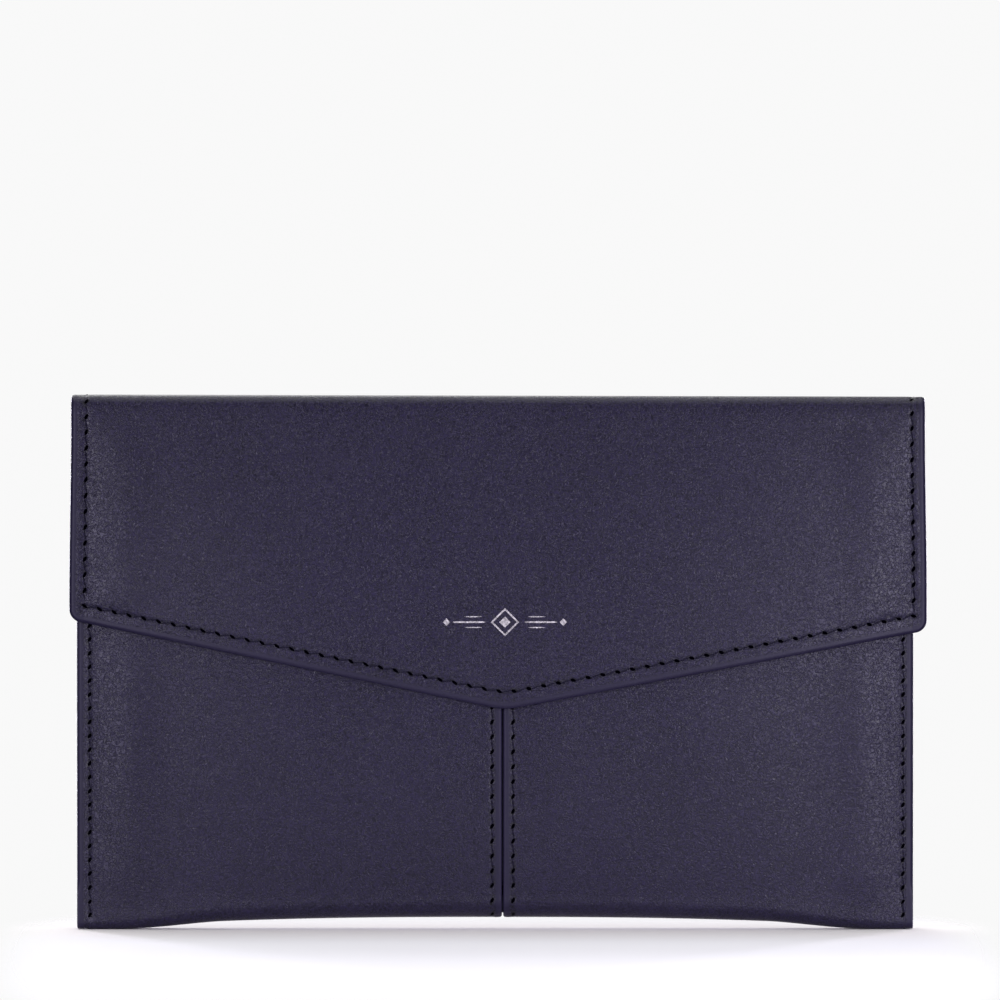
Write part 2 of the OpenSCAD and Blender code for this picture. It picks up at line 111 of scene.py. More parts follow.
# The flap's V and its corners. Its width falls by FLAP_TAPER from the lower corners to the top.
FLAP_LOW_LEFT, FLAP_LOW_RIGHT, FLAP_TIP_Z = 72.4, 69.9, 51.5
FLAP_TIP_X = (FOIL_LOW[0] + FOIL_HIGH[0]) / 2
FLAP_TIP_R, FLAP_CORNER_R = 18.0, 2.4
FLAP_TAPER, TAPER_FROM_Z, TAPER_OVER = 0.45, 78.0, 40.0
V_SLANT = 1.02
LEAN, LEAN_OFFSET, LEAN_FROM_Z, LEAN_OVER = 0.26, 0.07, 75.0, 50.0
MAGNET_Z, MAGNET_R, MAGNET_RISE = 62.0, 7.5, 0.35

# Thicknesses.
LEATHER, FLAP_SKIN, FLAP_T = 1.0, 1.75, 2.2
FRONT_T, BACK_T, INSIDE_T = 1.9, 1.9, 0.62
GLUE = 0.05
POCKET_LOW, POCKET_TOP = 0.5, 1.4
CARD_T, STRIP_T, STRIP_TURN = 0.6, 0.35, 0.22
STRIP_TOP, STRIP_STEP, STRIP_COUNT, STRIP_HALF = 105.0, 11.0, 4, 88.0

# Stitches: their length, the lines' distances from the edges, and the thread.
PITCH_V, PITCH_FLAP_SIDE, PITCH_BODY, PITCH_SEAM = 3.5, 3.66, 3.22, 3.48
FLAP_MARGIN_LEFT, FLAP_MARGIN_RIGHT, FLAP_MARGIN_LOW = 3.6, 3.1, 3.9
MARGIN_LEFT, MARGIN_RIGHT = 3.0, 2.4
CARD_ROW, DIVIDER_ROW, STRIP_MARGIN = 1.9, 2.4, 2.2
SIDE_START_Z = 3.4
THREAD_R, FINE_THREAD_R = 0.17, 0.16
THREAD_STEPS, THREAD_SIDES = np.array([0.0, 0.1, 0.28, 0.5, 0.72, 0.9, 1.0]), 8
LINE_REACH, FINE_REACH = 2.2, 2.0
FAR = 99.0

# Which borders of a sheet are rounded: its first and last column, then its first and last row.
ALL_ROUND, OPEN_TOP = (True, True, True, True), (True, True, True, False)

# The back's and the linings' edges, and how finely their meshes are cut.
BACK_EDGE_Z, BACK_ROW_Z = 9.6, 12.4
WIDEN_FROM_Z, WIDEN_OVER = 92.0, 29.5
INSIDE_INSET, INSIDE_STEP = 1.3, 1.4
TOP_INSIDE_LOW = 119.2
NEAR_ROWS, FACE_ROWS = 6.5, 62.0
TOP_ANGLES = np.linspace(0, math.pi / 2, 13)[1:]
QUARTER = math.pi / 2 * ROUND_R
BEND_LOW_Z = ROUND_Z - 0.6
TURNED_EDGE = 1.58
FLAP_ROUND_Y, BACK_ROUND_Y = TOP_FRONT_Y + ROUND_R, TOP_BACK_Y - ROUND_R
CORNER_LEFT_X, CORNER_RIGHT_X = FLAP_MARGIN_LEFT - FLAP_HALF, FLAP_HALF - FLAP_MARGIN_RIGHT
V_COUNT = round((CORNER_RIGHT_X - CORNER_LEFT_X) * V_SLANT / PITCH_V)
BACK_LEFT_LINE, BACK_RIGHT_LINE = POUCH_LEFT + MARGIN_LEFT, POUCH_RIGHT - MARGIN_RIGHT


# ---------------------------------------------------------------- shape functions
def mix(a, b, t):
    return a + (b - a) * t


def ease(t):
    """From 0 to 1: fast at first, then level."""
    return np.sin(np.pi / 2 * np.clip(t, 0, 1))


def smooth(t):
    """From 0 to 1, level at both ends."""
    t = np.clip(t, 0, 1)
    return t * t * (3 - 2 * t)


def bump_at(value, centre, width):
    """A bell of height 1 at centre."""
    return np.exp(-(((value - centre) / width) ** 2))


def crown(x):
    """1 along the body's middle, 0 at the sides' borders."""
    return np.maximum(0, 1 - (np.abs(x - POUCH_X) / (HALF_W - BORDER)) ** CROWN_POWER)


def flap_crown(x):
    return np.maximum(0, 1 - (np.abs(x) / (FLAP_HALF - FLAP_BORDER)) ** FLAP_CROWN_POWER)


def edge_share(x):
    """0 in the body's middle, 1 at its sides."""
    return np.clip(np.abs(x - POUCH_X) / HALF_W, 0, 1)


def rise(x):
    """How far the lower edge stands off the table."""
    share = edge_share(x)
    return ARCH * (1 - share**CROWN_POWER) * smooth((1 - FOOT_SHARE - share) / ARCH_EASE)


def front_half(x, z):
    swell = FRONT_SWELL * (1 - ((z - FRONT_SWELL_Z) / FRONT_SWELL_REACH) ** 2) * crown(x)
    return mix(CORNER_FRONT, FRONT_SIDE, ease(z / FRONT_FULL_Z)) + swell


def back_half(x, z):
    swell = BACK_SWELL * np.maximum(0, 1 - ((z - BACK_SWELL_Z) / BACK_SWELL_REACH) ** 2) * crown(x)
    return mix(CORNER_BACK, BACK_SIDE, ease(z / BACK_FULL_Z)) + swell


def flap_reach(x, z):
    side = mix(TOP_FRONT, FLAP_SIDE, ease((ROUND_Z - z) / FLAP_FULL_DROP))
    return side + FLAP_SWELL * ease((ROUND_Z - z) / FLAP_SWELL_DROP) * flap_crown(x)


def front_y(x, z, depth=0.0):
    return SEAM_Y - front_half(x, z) + depth


def back_y(x, z, depth=0.0):
    return SEAM_Y + back_half(x, z) - depth


def flap_y(x, z, depth=0.0):
    return SEAM_Y - flap_reach(x, z) + depth


def pocket_depth(x, z):
    """From the back's outer face to the back of the card panel, with the zipped pocket between them."""
    gap = mix(POCKET_LOW, POCKET_TOP, smooth((z - 85) / 20))
    return BACK_T + GLUE + gap * (1 - edge_share(x) ** 8) * smooth((z - 20) / 12)


def flap_half_at(z):
    """The flap widens a little towards its lower corners."""
    return FLAP_HALF - FLAP_TAPER * smooth((z - TAPER_FROM_Z) / TAPER_OVER)


def flap_line(x):
    """Height of the V edge, with a sharp point."""
    left = mix(FLAP_LOW_LEFT, FLAP_TIP_Z, (x + FLAP_HALF) / (FLAP_TIP_X + FLAP_HALF))
    right = mix(FLAP_TIP_Z, FLAP_LOW_RIGHT, (x - FLAP_TIP_X) / (FLAP_HALF - FLAP_TIP_X))
    return np.where(x < FLAP_TIP_X, left, right)


def tip_lift(x):
    """How much higher the edge is near its rounded point than with a sharp one."""
    slope = (FLAP_LOW_RIGHT - FLAP_TIP_Z) / (FLAP_HALF - FLAP_TIP_X)
    reach = FLAP_TIP_R * slope
    d = np.abs(x - FLAP_TIP_X)
    return np.where(d < reach, (reach - d) ** 2 / (2 * FLAP_TIP_R), 0.0)


def corner_lift(x, half, r):
    """How much higher the edge is at its rounded corners."""
    d = np.clip(r - (half - np.abs(x)), 0, r)
    return r - np.sqrt(np.maximum(0, r * r - d * d))


def v_edge(x, inset=0.0):
    """Height of the flap's V edge, or of a line set in from it."""
    return flap_line(x) + tip_lift(x) + inset * V_SLANT


def flap_low(x, inset=0.0):
    """Height of the flap's lowest points, with its corners rounded."""
    return v_edge(x, inset) + corner_lift(x, FLAP_HALF - inset, FLAP_CORNER_R - inset)


def lean(points):
    """The top of the wallet sits a little lower towards the right."""
    share = smooth((points[..., 2] - LEAN_FROM_Z) / LEAN_OVER)
    drop = (LEAN * points[..., 0] / FLAP_HALF - LEAN_OFFSET) * share
    return points - drop[..., None] * np.array([0.0, 0.0, 1.0])


def rounded_min(a, b, r):
    """Distance to the nearer of two edges that meet in a corner of radius r."""
    inside = r - np.sqrt(np.maximum(r - a, 0) ** 2 + np.maximum(r - b, 0) ** 2)
    return np.where((a < r) & (b < r), inside, np.minimum(a, b))


EDGE_FADE = 0.5
EDGE_STEPS = (0.03, 0.1, 0.22, 0.4, 0.62, 0.9, 1.25, 1.6, 2.1, 2.7)


def stations(low, high, step, lines=(), fine=0.24, reach=1.0, edges=(True, True)):
    """Positions from low to high, closer together at free edges and along stitch lines."""
    marks = [low, high]
    if edges[0]:
        marks += [low + d for d in EDGE_STEPS]
    if edges[1]:
        marks += [high - d for d in EDGE_STEPS]
    for line in lines:
        marks += list(np.arange(line - reach, line + reach + fine / 2, fine))
    marks = sorted(m for m in marks if low <= m <= high)
    out = [low]
    for mark in marks[1:]:
        gap = mark - out[-1]
        if gap < 0.025:
            continue
        count = max(1, math.ceil(gap / step - 1e-6))
        out += [out[-1] + gap * (k + 1) / count for k in range(count)]
    out[-1] = high
    return np.array(out)


# ---------------------------------------------------------------- meshes
def make_piece(name, points, faces, material, smooth_faces=True, flat_last=0, **attributes):
    """A mesh object from points in mm. The last flat_last faces aren't smoothed. attributes are numbers or
    vectors kept for each point."""
    mesh = bpy.data.meshes.new(name)
    mesh.from_pydata((points * MM).tolist(), [], [list(map(int, f)) for f in faces])
    mesh.validate()
    attributes["rest"] = points * MM
    for key, values in attributes.items():
        values = np.asarray(values, np.float32)
        kind, field = ("FLOAT", "value") if values.ndim == 1 else ("FLOAT_VECTOR", "vector")
        mesh.attributes.new(key, kind, "POINT").data.foreach_set(field, values.ravel())
    if smooth_faces:
        smooth_count = len(mesh.polygons) - flat_last
        mesh.polygons.foreach_set("use_smooth", np.arange(len(mesh.polygons)) < smooth_count)
        for face in mesh.polygons[smooth_count:]:
            for corner in face.loop_indices:
                mesh.edges[mesh.loops[corner].edge_index].use_edge_sharp = True
    piece = bpy.data.objects.new(name, mesh)
    bpy.context.scene.collection.objects.link(piece)
    mesh.materials.append(material)
    return piece


def unit(vectors):
    """The vectors at length 1."""
    return vectors / np.maximum(np.linalg.norm(vectors, axis=-1, keepdims=True), 1e-12)


def grid_normals(points):
    """Unit normals of a grid of points: across the columns, then along the rows."""
    return unit(np.cross(np.gradient(points, axis=0), np.gradient(points, axis=1)))


def quads(index, flip):
    """Faces of a grid of point numbers."""
    a, b = index[:-1, :-1].ravel(), index[1:, :-1].ravel()
    c, d = index[1:, 1:].ravel(), index[:-1, 1:].ravel()
    return np.stack([a, d, c, b] if flip else [a, b, c, d], axis=1)


def border_caps(first, second, free, flip):
    """The flat faces that close a shell along its borders that aren't rounded."""
    borders = ((first[0], second[0], False), (first[-1], second[-1], True),
               (first[:, 0], second[:, 0], True), (first[:, -1], second[:, -1], False))
    strips = []
    for (one, two, turned), is_free in zip(borders, free):
        if not is_free:
            strip = np.stack([one[:-1], one[1:], two[1:], two[:-1]], axis=1)
            strips.append(strip[:, ::-1] if turned != flip else strip)
    return strips


def shell(name, points, thickness, material, edge, flip=False, relief=0.0, free=ALL_ROUND, **fields):
    """A closed sheet of leather. points are its outer face, edge the distance to its free edges, which are
    rounded over the whole thickness, and relief what rises from it. fields are stitch_a and stitch_b, the
    stitch lines on the outer face; they are switched off inside."""
    columns, rows = points.shape[:2]
    normal = grid_normals(points) * (-1 if flip else 1)
    thickness = np.broadcast_to(np.asarray(thickness, float), (columns, rows))
    radius = thickness / 2
    near = np.clip(edge, 0, radius)
    drop = radius - np.sqrt(np.maximum(0, radius**2 - (radius - near) ** 2))
    outer = points - normal * (drop - relief * smooth(edge / EDGE_FADE))[..., None]
    inner = points - normal * (thickness - drop)[..., None]
    first = np.arange(columns * rows).reshape(columns, rows)
    apart = np.ones((columns, rows), bool)
    apart[0] &= not free[0]
    apart[-1] &= not free[1]
    apart[:, 0] &= not free[2]
    apart[:, -1] &= not free[3]
    second = first.copy()
    second[apart] = columns * rows + np.arange(apart.sum())
    caps = border_caps(first, second, free, flip)
    faces = np.concatenate([quads(first, flip), quads(second, not flip), *caps])
    faces = [[v for k, v in enumerate(f) if v != f[k - 1]] for f in faces.tolist()]
    kept = {"edge": np.concatenate([edge.ravel(), edge[apart]])}
    for key in ("stitch_a", "stitch_b"):
        values = fields.get(key, np.zeros((columns, rows, 3)))
        inside = values[apart] * (1, 1, 0)
        kept[key] = np.concatenate([values.reshape(-1, 3), inside])
    every = np.concatenate([outer.reshape(-1, 3), inner[apart]])
    flat_last = sum(len(strip) for strip in caps)
    return make_piece(name, every, [f for f in faces if len(f) > 2], material, flat_last=flat_last, **kept)


def stitch_field(along, across, on):
    """Where each point lies on a stitch line: stitches along it, mm across it, and 1 where it counts."""
    return np.stack([along, across, on.astype(float)], axis=-1)


def groove(across, on, depth=0.1):
    """The shallow trough that a stitch line is pulled into, in a wider, softer dip."""
    return -(depth * bump_at(across, 0, 0.42) + 0.05 * bump_at(across, 0, 1.3)) * on


def tube_sides(rings, sides):
    """Faces of a tube of rings of points, without its ends."""
    return [[ring * sides + k, ring * sides + (k + 1) % sides, (ring + 1) * sides + (k + 1) % sides,
             (ring + 1) * sides + k] for ring in range(rings - 1) for k in range(sides)]


def stitches(name, rows, material, radius=THREAD_R, lift=-0.02):
    """Short bowed threads. rows are arrays of (hole, next hole, normal), each in mm."""
    start, end, normal = (np.concatenate(arrays) for arrays in zip(*rows))
    along = unit(end - start)
    side = unit(np.cross(along, normal))
    up = np.cross(side, along)
    points = []
    for s in THREAD_STEPS:
        bow = math.sin(math.pi * s) ** 0.5
        size = radius * (0.6 + 0.4 * bow)
        centre = mix(start, end, 0.15 + 0.7 * s) + up * (lift - 0.3 * (1 - bow)) + side * (0.5 * (0.5 - s))
        for angle in 2 * math.pi * np.arange(THREAD_SIDES) / THREAD_SIDES:
            points.append(centre + side * (size * math.cos(angle)) + up * (0.85 * size * math.sin(angle)))
    points = np.stack(points, axis=1)
    rings = len(THREAD_STEPS)
    last = (rings - 1) * THREAD_SIDES
    ends = [list(range(THREAD_SIDES))[::-1], list(range(last, last + THREAD_SIDES))]
    one = tube_sides(rings, THREAD_SIDES) + ends
    faces = [[n * points.shape[1] + v for v in f] for n in range(len(start)) for f in one]
    twist = np.tile(np.repeat(THREAD_STEPS, THREAD_SIDES), len(start))
    return make_piece(name, points.reshape(-1, 3), faces, material, twist=twist)


def row_of(points, normals):
    """A row for stitches() from the holes and their normals."""
    return points[:-1], points[1:], normals


def surface_row(surface, xs, zs, step=0.05):
    """Stitches along a line on a surface given as y(x, z), seen from the front (-Y) or the back."""
    xs, zs = xs + 0 * zs, zs + 0 * xs
    y = surface(xs, zs)
    slope_x = (surface(xs + step, zs) - surface(xs - step, zs)) / (2 * step)
    slope_z = (surface(xs, zs + step) - surface(xs, zs - step)) / (2 * step)
    sign = np.where(y > SEAM_Y, 1.0, -1.0)[:, None]
    normal = unit(np.stack([-slope_x, np.ones_like(y), -slope_z], axis=1) * sign)
    return row_of(np.stack([xs, y, zs], axis=1), (normal[:-1] + normal[1:]) / 2)


# ---------------------------------------------------------------- materials
class Wire:
    """A number in a material's nodes, which sums and products can be made of."""

    def __init__(self, tree, socket):
        self.tree, self.socket = tree, socket

    def math(self, kind, *others):
        node = self.tree.nodes.new("ShaderNodeMath")
        node.operation = kind
        for k, value in enumerate((self, *others)):
            if isinstance(value, Wire):
                self.tree.links.new(value.socket, node.inputs[k])
            else:
                node.inputs[k].default_value = value
        return Wire(self.tree, node.outputs[0])

    def __add__(self, other):
        return self.math("ADD", other)

    def __sub__(self, other):
        return self.math("SUBTRACT", other)

    def __mul__(self, other):
        return self.math("MULTIPLY", other)

    def __neg__(self):
        return self.math("MULTIPLY", -1.0)

    def step(self, low, high):
        """0 at low, 1 at high and beyond, smooth between them."""
        node = self.tree.nodes.new("ShaderNodeMapRange")
        node.interpolation_type = "SMOOTHSTEP"
        node.inputs["From Min"].default_value = min(low, high)
        node.inputs["From Max"].default_value = max(low, high)
        node.inputs["To Min"].default_value = 0.0 if low < high else 1.0
        node.inputs["To Max"].default_value = 1.0 if low < high else 0.0
        self.tree.links.new(self.socket, node.inputs["Value"])
        return Wire(self.tree, node.outputs["Result"])


class Finish:
    """A material on its way: its nodes, its coordinates in mm at rest, and its shader."""

    def __init__(self, name):
        self.material = bpy.data.materials.new(name)
        self.material.use_nodes = True
        self.tree = self.material.node_tree
        self.shader = self.tree.nodes["Principled BSDF"]
        self.where = self.scaled(self.attribute("rest", "Vector"), 1 / MM)

    def attribute(self, name, output="Fac"):
        """A number or vector kept for each point."""
        node = self.tree.nodes.new("ShaderNodeAttribute")
        node.attribute_name = name
        return Wire(self.tree, node.outputs[output])

    def scaled(self, wire, factor):
        node = self.tree.nodes.new("ShaderNodeVectorMath")
        node.operation = "MULTIPLY"
        node.inputs[1].default_value = (factor,) * 3 if isinstance(factor, (int, float)) else factor
        self.tree.links.new(wire.socket, node.inputs[0])
        return Wire(self.tree, node.outputs[0])

    def parts(self, wire):
        """A vector's X, Y and Z."""
        node = self.tree.nodes.new("ShaderNodeSeparateXYZ")
        self.tree.links.new(wire.socket, node.inputs[0])
        return [Wire(self.tree, node.outputs[k]) for k in range(3)]

    def noise(self, size, detail=2.0, distortion=0.0, stretch=1.0):
        """Smooth noise from 0 to 1 whose features are about size mm across."""
        node = self.tree.nodes.new("ShaderNodeTexNoise")
        node.inputs["Scale"].default_value = 1 / size
        node.inputs["Detail"].default_value = detail
        node.inputs["Distortion"].default_value = distortion
        where = self.where if stretch == 1.0 else self.scaled(self.where, stretch)
        self.tree.links.new(where.socket, node.inputs["Vector"])
        return Wire(self.tree, node.outputs["Fac"])

    def colour(self, dark, light, share):
        """Base colour between two colours."""
        node = self.tree.nodes.new("ShaderNodeMix")
        node.data_type = "RGBA"
        node.inputs[6].default_value = (*dark, 1)
        node.inputs[7].default_value = (*light, 1)
        self.tree.links.new(share.socket, node.inputs[0])
        self.tree.links.new(node.outputs[2], self.shader.inputs["Base Color"])

    def link(self, wire, socket):
        self.tree.links.new(wire.socket, self.shader.inputs[socket])

    def rough(self, wire):
        self.link(wire, "Roughness")

    def height(self, wire):
        """Bump from a height in mm."""
        node = self.tree.nodes.new("ShaderNodeBump")
        node.inputs["Distance"].default_value = MM
        self.tree.links.new(wire.socket, node.inputs["Height"])
        self.tree.links.new(node.outputs[0], self.shader.inputs["Normal"])

    def set(self, **values):
        """Numbers on the shader's own sockets."""
        for key, value in values.items():
            self.shader.inputs[key.replace("_", " ")].default_value = value


SLIT_TURN = math.radians(27)
SLIT_LONG, SLIT_WIDE = 0.66, 0.33


def slit(finish, name):
    """Three wires that are 1 on a stitch line and 0 elsewhere: its slanted holes, a halo round each hole,
    and the line itself."""
    along, across, on = finish.parts(finish.attribute(name, "Vector"))
    along = (along.math("FRACT") - 0.5) * PITCH_V
    turn_c, turn_s = math.cos(SLIT_TURN), math.sin(SLIT_TURN)
    a = (along * turn_c - across * turn_s) * (1 / SLIT_LONG)
    b = (along * turn_s + across * turn_c) * (1 / SLIT_WIDE)
    reach = (a * a + b * b).math("SQRT")
    line = across.math("ABSOLUTE").step(0.7, 0.15)
    return [wire * on for wire in (reach.step(1.12, 0.85), reach.step(2.6, 0.9), line)]


def leather(name, dark, light, roughness=0.34, grain=0.044, size=0.82):
    """Smooth calf: a fine worm-like grain, cloudy gloss, a polished band along turned edges, stitch holes.
    The band and the very rim are made lighter as painted highlight; the edge crease, the stitch lines, a halo
    round each hole and the black holes are painted shade.
    """
    finish = Finish(name)
    worm = (finish.noise(size, 1.0, 1.2) * 2 - 1.0).math("ABSOLUTE").step(0.0, 0.3)
    pores = finish.noise(size * 0.55, 1.0, 0.8)
    cloud = finish.noise(26.0, 3.0)
    patch = finish.noise(7.0, 2.0)
    edge = finish.attribute("edge")
    # The smooth band along turned edges: less grain, and its colour is made a little lighter as a painted
    # highlight.
    band = edge.step(1.9, 1.2)
    # The pressed crease by the turned edge: a real shallow dent in the bump, and its darker colour is painted
    # shade in the crease.
    crease = (edge - TURNED_EDGE).math("ABSOLUTE").step(0.5, 0.03)
    # A painted highlight: the colour is made lighter along the very edge.
    rim_highlight = edge.step(0.5, 0.1)
    pairs = zip(slit(finish, "stitch_a"), slit(finish, "stitch_b"))
    holes, halo, line = (one.math("MAXIMUM", two) for one, two in pairs)
    plain = -(band * 0.8) + 1.0
    texture = (worm + pores.step(0.4, 0.6) - 1.0) * plain * (patch * 0.5 + 0.75)
    share = texture * 0.34 + cloud * 0.2 + band * 0.06 + rim_highlight * 0.2 - crease * 0.08 + 0.42
    # Painted shade: the leather is darkened along the stitch lines and in a halo round each hole, and the
    # stitch holes are painted black.
    share = (share - line * 0.08 - halo * 0.2 - holes * 3.0).math("MAXIMUM", 0.0).math("MINIMUM", 1.0)
    finish.colour(dark, light, share)
    # Metallic 1 on the black holes takes their reflection away, so the painted shade in them stays black.
    finish.link(holes, "Metallic")
    gloss = cloud * 0.06 + patch * 0.03 + texture * 0.03 + band * 0.12 + (roughness - 0.03)
    finish.rough((gloss + holes * 0.4).math("MINIMUM", 1.0))
    bumps = (worm * grain + pores * (grain * 0.4)) * plain + cloud * 0.25
    finish.height(bumps - crease * 0.015 - holes * 0.3 - halo * 0.03)
    finish.set(Specular_IOR_Level=0.25)
    return finish.material


def cloth(name, dark, light, rib=0.42, diagonal=True):
    """A close weave: ribs one way crossed by finer ones, with slubs."""
    finish = Finish(name)
    x, _, z = finish.parts(finish.where)
    slant = x + z if diagonal else x
    one = (slant * (2 * math.pi / rib)).math("SINE")
    two = ((z - x if diagonal else z) * (2 * math.pi / (rib * 0.62))).math("SINE")
    weave = one * 0.32 + two * 0.18 + 0.5
    slub = finish.noise(1.6, 3.0, 0.3, (1.0, 1.0, 0.12))
    fuzz = finish.noise(0.12, 1.0)
    share = (weave * 0.55 + slub * 0.35 + fuzz * 0.2 - 0.05).math("MINIMUM", 1.0).math("MAXIMUM", 0.0)
    finish.colour(dark, light, share)
    finish.rough(fuzz * 0.15 + 0.72)
    finish.height(weave * 0.05 + fuzz * 0.02 + slub * 0.03)
    finish.set(Sheen_Weight=0.25, Sheen_Roughness=0.5, Specular_IOR_Level=0.3)
    return finish.material


def thread_finish(name, dark, light):
    """Bonded thread: two plies twisted round each other, seen as slanted bands."""
    finish = Finish(name)
    x, _, z = finish.parts(finish.where)
    ply = ((finish.attribute("twist") * 26.0) + (x - z) * 4.0).math("SINE") * 0.5 + 0.5
    fuzz = finish.noise(0.1, 1.0)
    finish.colour(dark, light, (ply * 0.7 + fuzz * 0.3))
    finish.rough(fuzz * 0.15 + 0.5)
    finish.height(ply * 0.035 + fuzz * 0.01)
    finish.set(Specular_IOR_Level=0.12)
    return finish.material


def metal(name, colour, roughness):
    """Plated metal with fine scratches along X and cloudy wear."""
    finish = Finish(name)
    lines = finish.noise(0.09, 2.0, 0.0, (0.08, 1.0, 1.0))
    wear = finish.noise(2.2, 3.0)
    finish.colour(tuple(0.72 * c for c in colour), colour, (lines * 0.4 + wear * 0.6).step(0.2, 0.65))
    finish.rough(lines * 0.12 + wear * 0.12 + (roughness - 0.08))
    finish.height(lines * 0.006 + wear * 0.004)
    finish.set(Metallic=1.0)
    return finish.material


def board_finish(name):
    """Grey-brown fibre board."""
    finish = Finish(name)
    fibre = finish.noise(0.5, 4.0, 1.5)
    finish.colour((0.22, 0.19, 0.14), (0.42, 0.38, 0.30), fibre.step(0.3, 0.7))
    finish.rough(fibre * 0.2 + 0.7)
    finish.height(fibre * 0.04)
    return finish.material


def foil_finish(name):
    """Silver foil pressed into the leather: the grain shows through, and it is thin in places."""
    finish = Finish(name)
    worm = (finish.noise(0.62, 2.5, 1.2) * 2 - 1.0).math("ABSOLUTE").step(0.0, 0.3)
    thin = finish.noise(0.45, 3.0)
    finish.colour((0.20, 0.19, 0.19), (0.46, 0.44, 0.43), (worm * 0.35 + thin.step(0.3, 0.6) * 0.65))
    finish.rough(thin * 0.2 + 0.3)
    finish.height(worm * 0.02 + thin * 0.01)
    finish.set(Metallic=1.0)
    return finish.material


OUTER = leather("outer_leather", (0.0004, 0.0002, 0.0018), (0.0165, 0.0122, 0.0420))
INNER = leather("inner_leather", (0.0022, 0.0016, 0.0058), (0.025, 0.021, 0.047), 0.46, 0.02, 0.7)
LINING = cloth("lining_cloth", (0.009, 0.009, 0.020), (0.035, 0.036, 0.075))
TAPE = cloth("woven_tape", (0.006, 0.006, 0.013), (0.026, 0.026, 0.050), 0.7, False)
THREAD = thread_finish("sewing_thread", (0.0015, 0.0012, 0.005), (0.012, 0.010, 0.027))
ZIP_METAL = metal("zip_metal", (0.62, 0.61, 0.59), 0.3)
POLISHED = metal("polished_metal", (0.70, 0.69, 0.67), 0.18)
MAGNET = metal("magnet_metal", (0.56, 0.55, 0.54), 0.32)
FOIL = foil_finish("silver_foil")
BOARD = board_finish("stiffener_board")


# ---------------------------------------------------------------- the flap and the back
def top_path(x, length, start_z, face, round_y, sign):
    """Point at a length along a section: up a wall from start_z, round the corner, and over the top.
    sign is 1 where the path then runs towards +Y (the flap) and -1 where it runs back (the back wall)."""
    wall = ROUND_Z - start_z
    angle = np.clip((length - wall) / ROUND_R, 0, math.pi / 2)
    over = np.maximum(0, length - wall - QUARTER)
    z_wall = start_z + np.minimum(length, wall)
    round_part = round_y - sign * ROUND_R * np.cos(angle) + sign * over
    y = np.where(length <= wall, face(x, z_wall), round_part)
    z = np.where(length <= wall, z_wall, ROUND_Z + ROUND_R * np.sin(angle))
    return np.stack([x, y, z], axis=1)


def soften(points, first, last, passes=14):
    """Rounds off the kink where one stretch of rows meets the next."""
    for _ in range(passes):
        before, here, after = (points[:, first + k:last + k] for k in (-1, 0, 1))
        points[:, first:last] = 0.25 * before + 0.5 * here + 0.25 * after


def ridge(inside):
    """The soft roll of a padded panel just inside its stitches, from the distance to them."""
    return 0.3 * bump_at(inside, 8.5, 6.5)


def wave(x, z):
    """The slight unevenness of leather over a board."""
    return 0.05 * np.sin(x / 19 + 0.8) * np.sin(z / 14 + 0.5) + 0.03 * np.sin(x / 7.3 + z / 9.1)


def flap_grid(inset=0.0, depth=0.0, step=0.72, lines=True):
    """Outer points of the flap, from its lower edge over the front corner to the middle of the top, the
    length along each column, and the number of rows on its face."""
    marks, row_marks = ((CORNER_LEFT_X, CORNER_RIGHT_X), (FLAP_MARGIN_LOW * V_SLANT,)) if lines else ((), ())
    xs = stations(-FLAP_HALF + inset, FLAP_HALF - inset, step, marks)
    rows = stations(0, FACE_ROWS, step * 1.15, row_marks, edges=(True, False))
    low = flap_low(xs, inset)[:, None]
    far = NEAR_ROWS + (rows - NEAR_ROWS) / (FACE_ROWS - NEAR_ROWS) * (ROUND_Z - low - NEAR_ROWS)
    z_face = low + np.where(rows < NEAR_ROWS, rows, far)
    radius = ROUND_R - depth
    y_flat = np.linspace(FLAP_ROUND_Y, TOP_MID_Y, 6)[1:]

    def every(face_part, *over):
        return np.concatenate([face_part, np.tile(np.concatenate(over), (len(xs), 1))], axis=1)

    z = every(z_face, ROUND_Z + radius * np.sin(TOP_ANGLES), np.full(len(y_flat), TOP_Z - depth))
    x = (xs / FLAP_HALF)[:, None] * flap_half_at(z)
    face = len(rows)
    y = every(flap_y(x[:, :face], z_face, depth), FLAP_ROUND_Y - radius * np.cos(TOP_ANGLES), y_flat)
    points = np.stack([x, y, z], axis=-1)
    soften(points, face - 7, face + 3)
    length = every(z_face, ROUND_Z + TOP_ANGLES * ROUND_R, ROUND_Z + QUARTER + (y_flat - FLAP_ROUND_Y))
    return points, length, face


def flap_edge(points, face, inset=0.0):
    """Distance to the flap's edges, or to those of a sheet set in from them."""
    x, z = points[..., 0], points[..., 2]
    side = flap_half_at(z) - inset - np.abs(x)
    edge = rounded_min(z - v_edge(x, inset), side, FLAP_CORNER_R - inset)
    edge[:, face:] = side[:, face:]
    return np.maximum(edge, 0)


def on_board(x, z, edge):
    """The unevenness of the leather, away from its edges and from the fold over the top."""
    return wave(x, z) * smooth((edge - BORDER) / 6) * smooth((ROUND_Z - z) / 6)


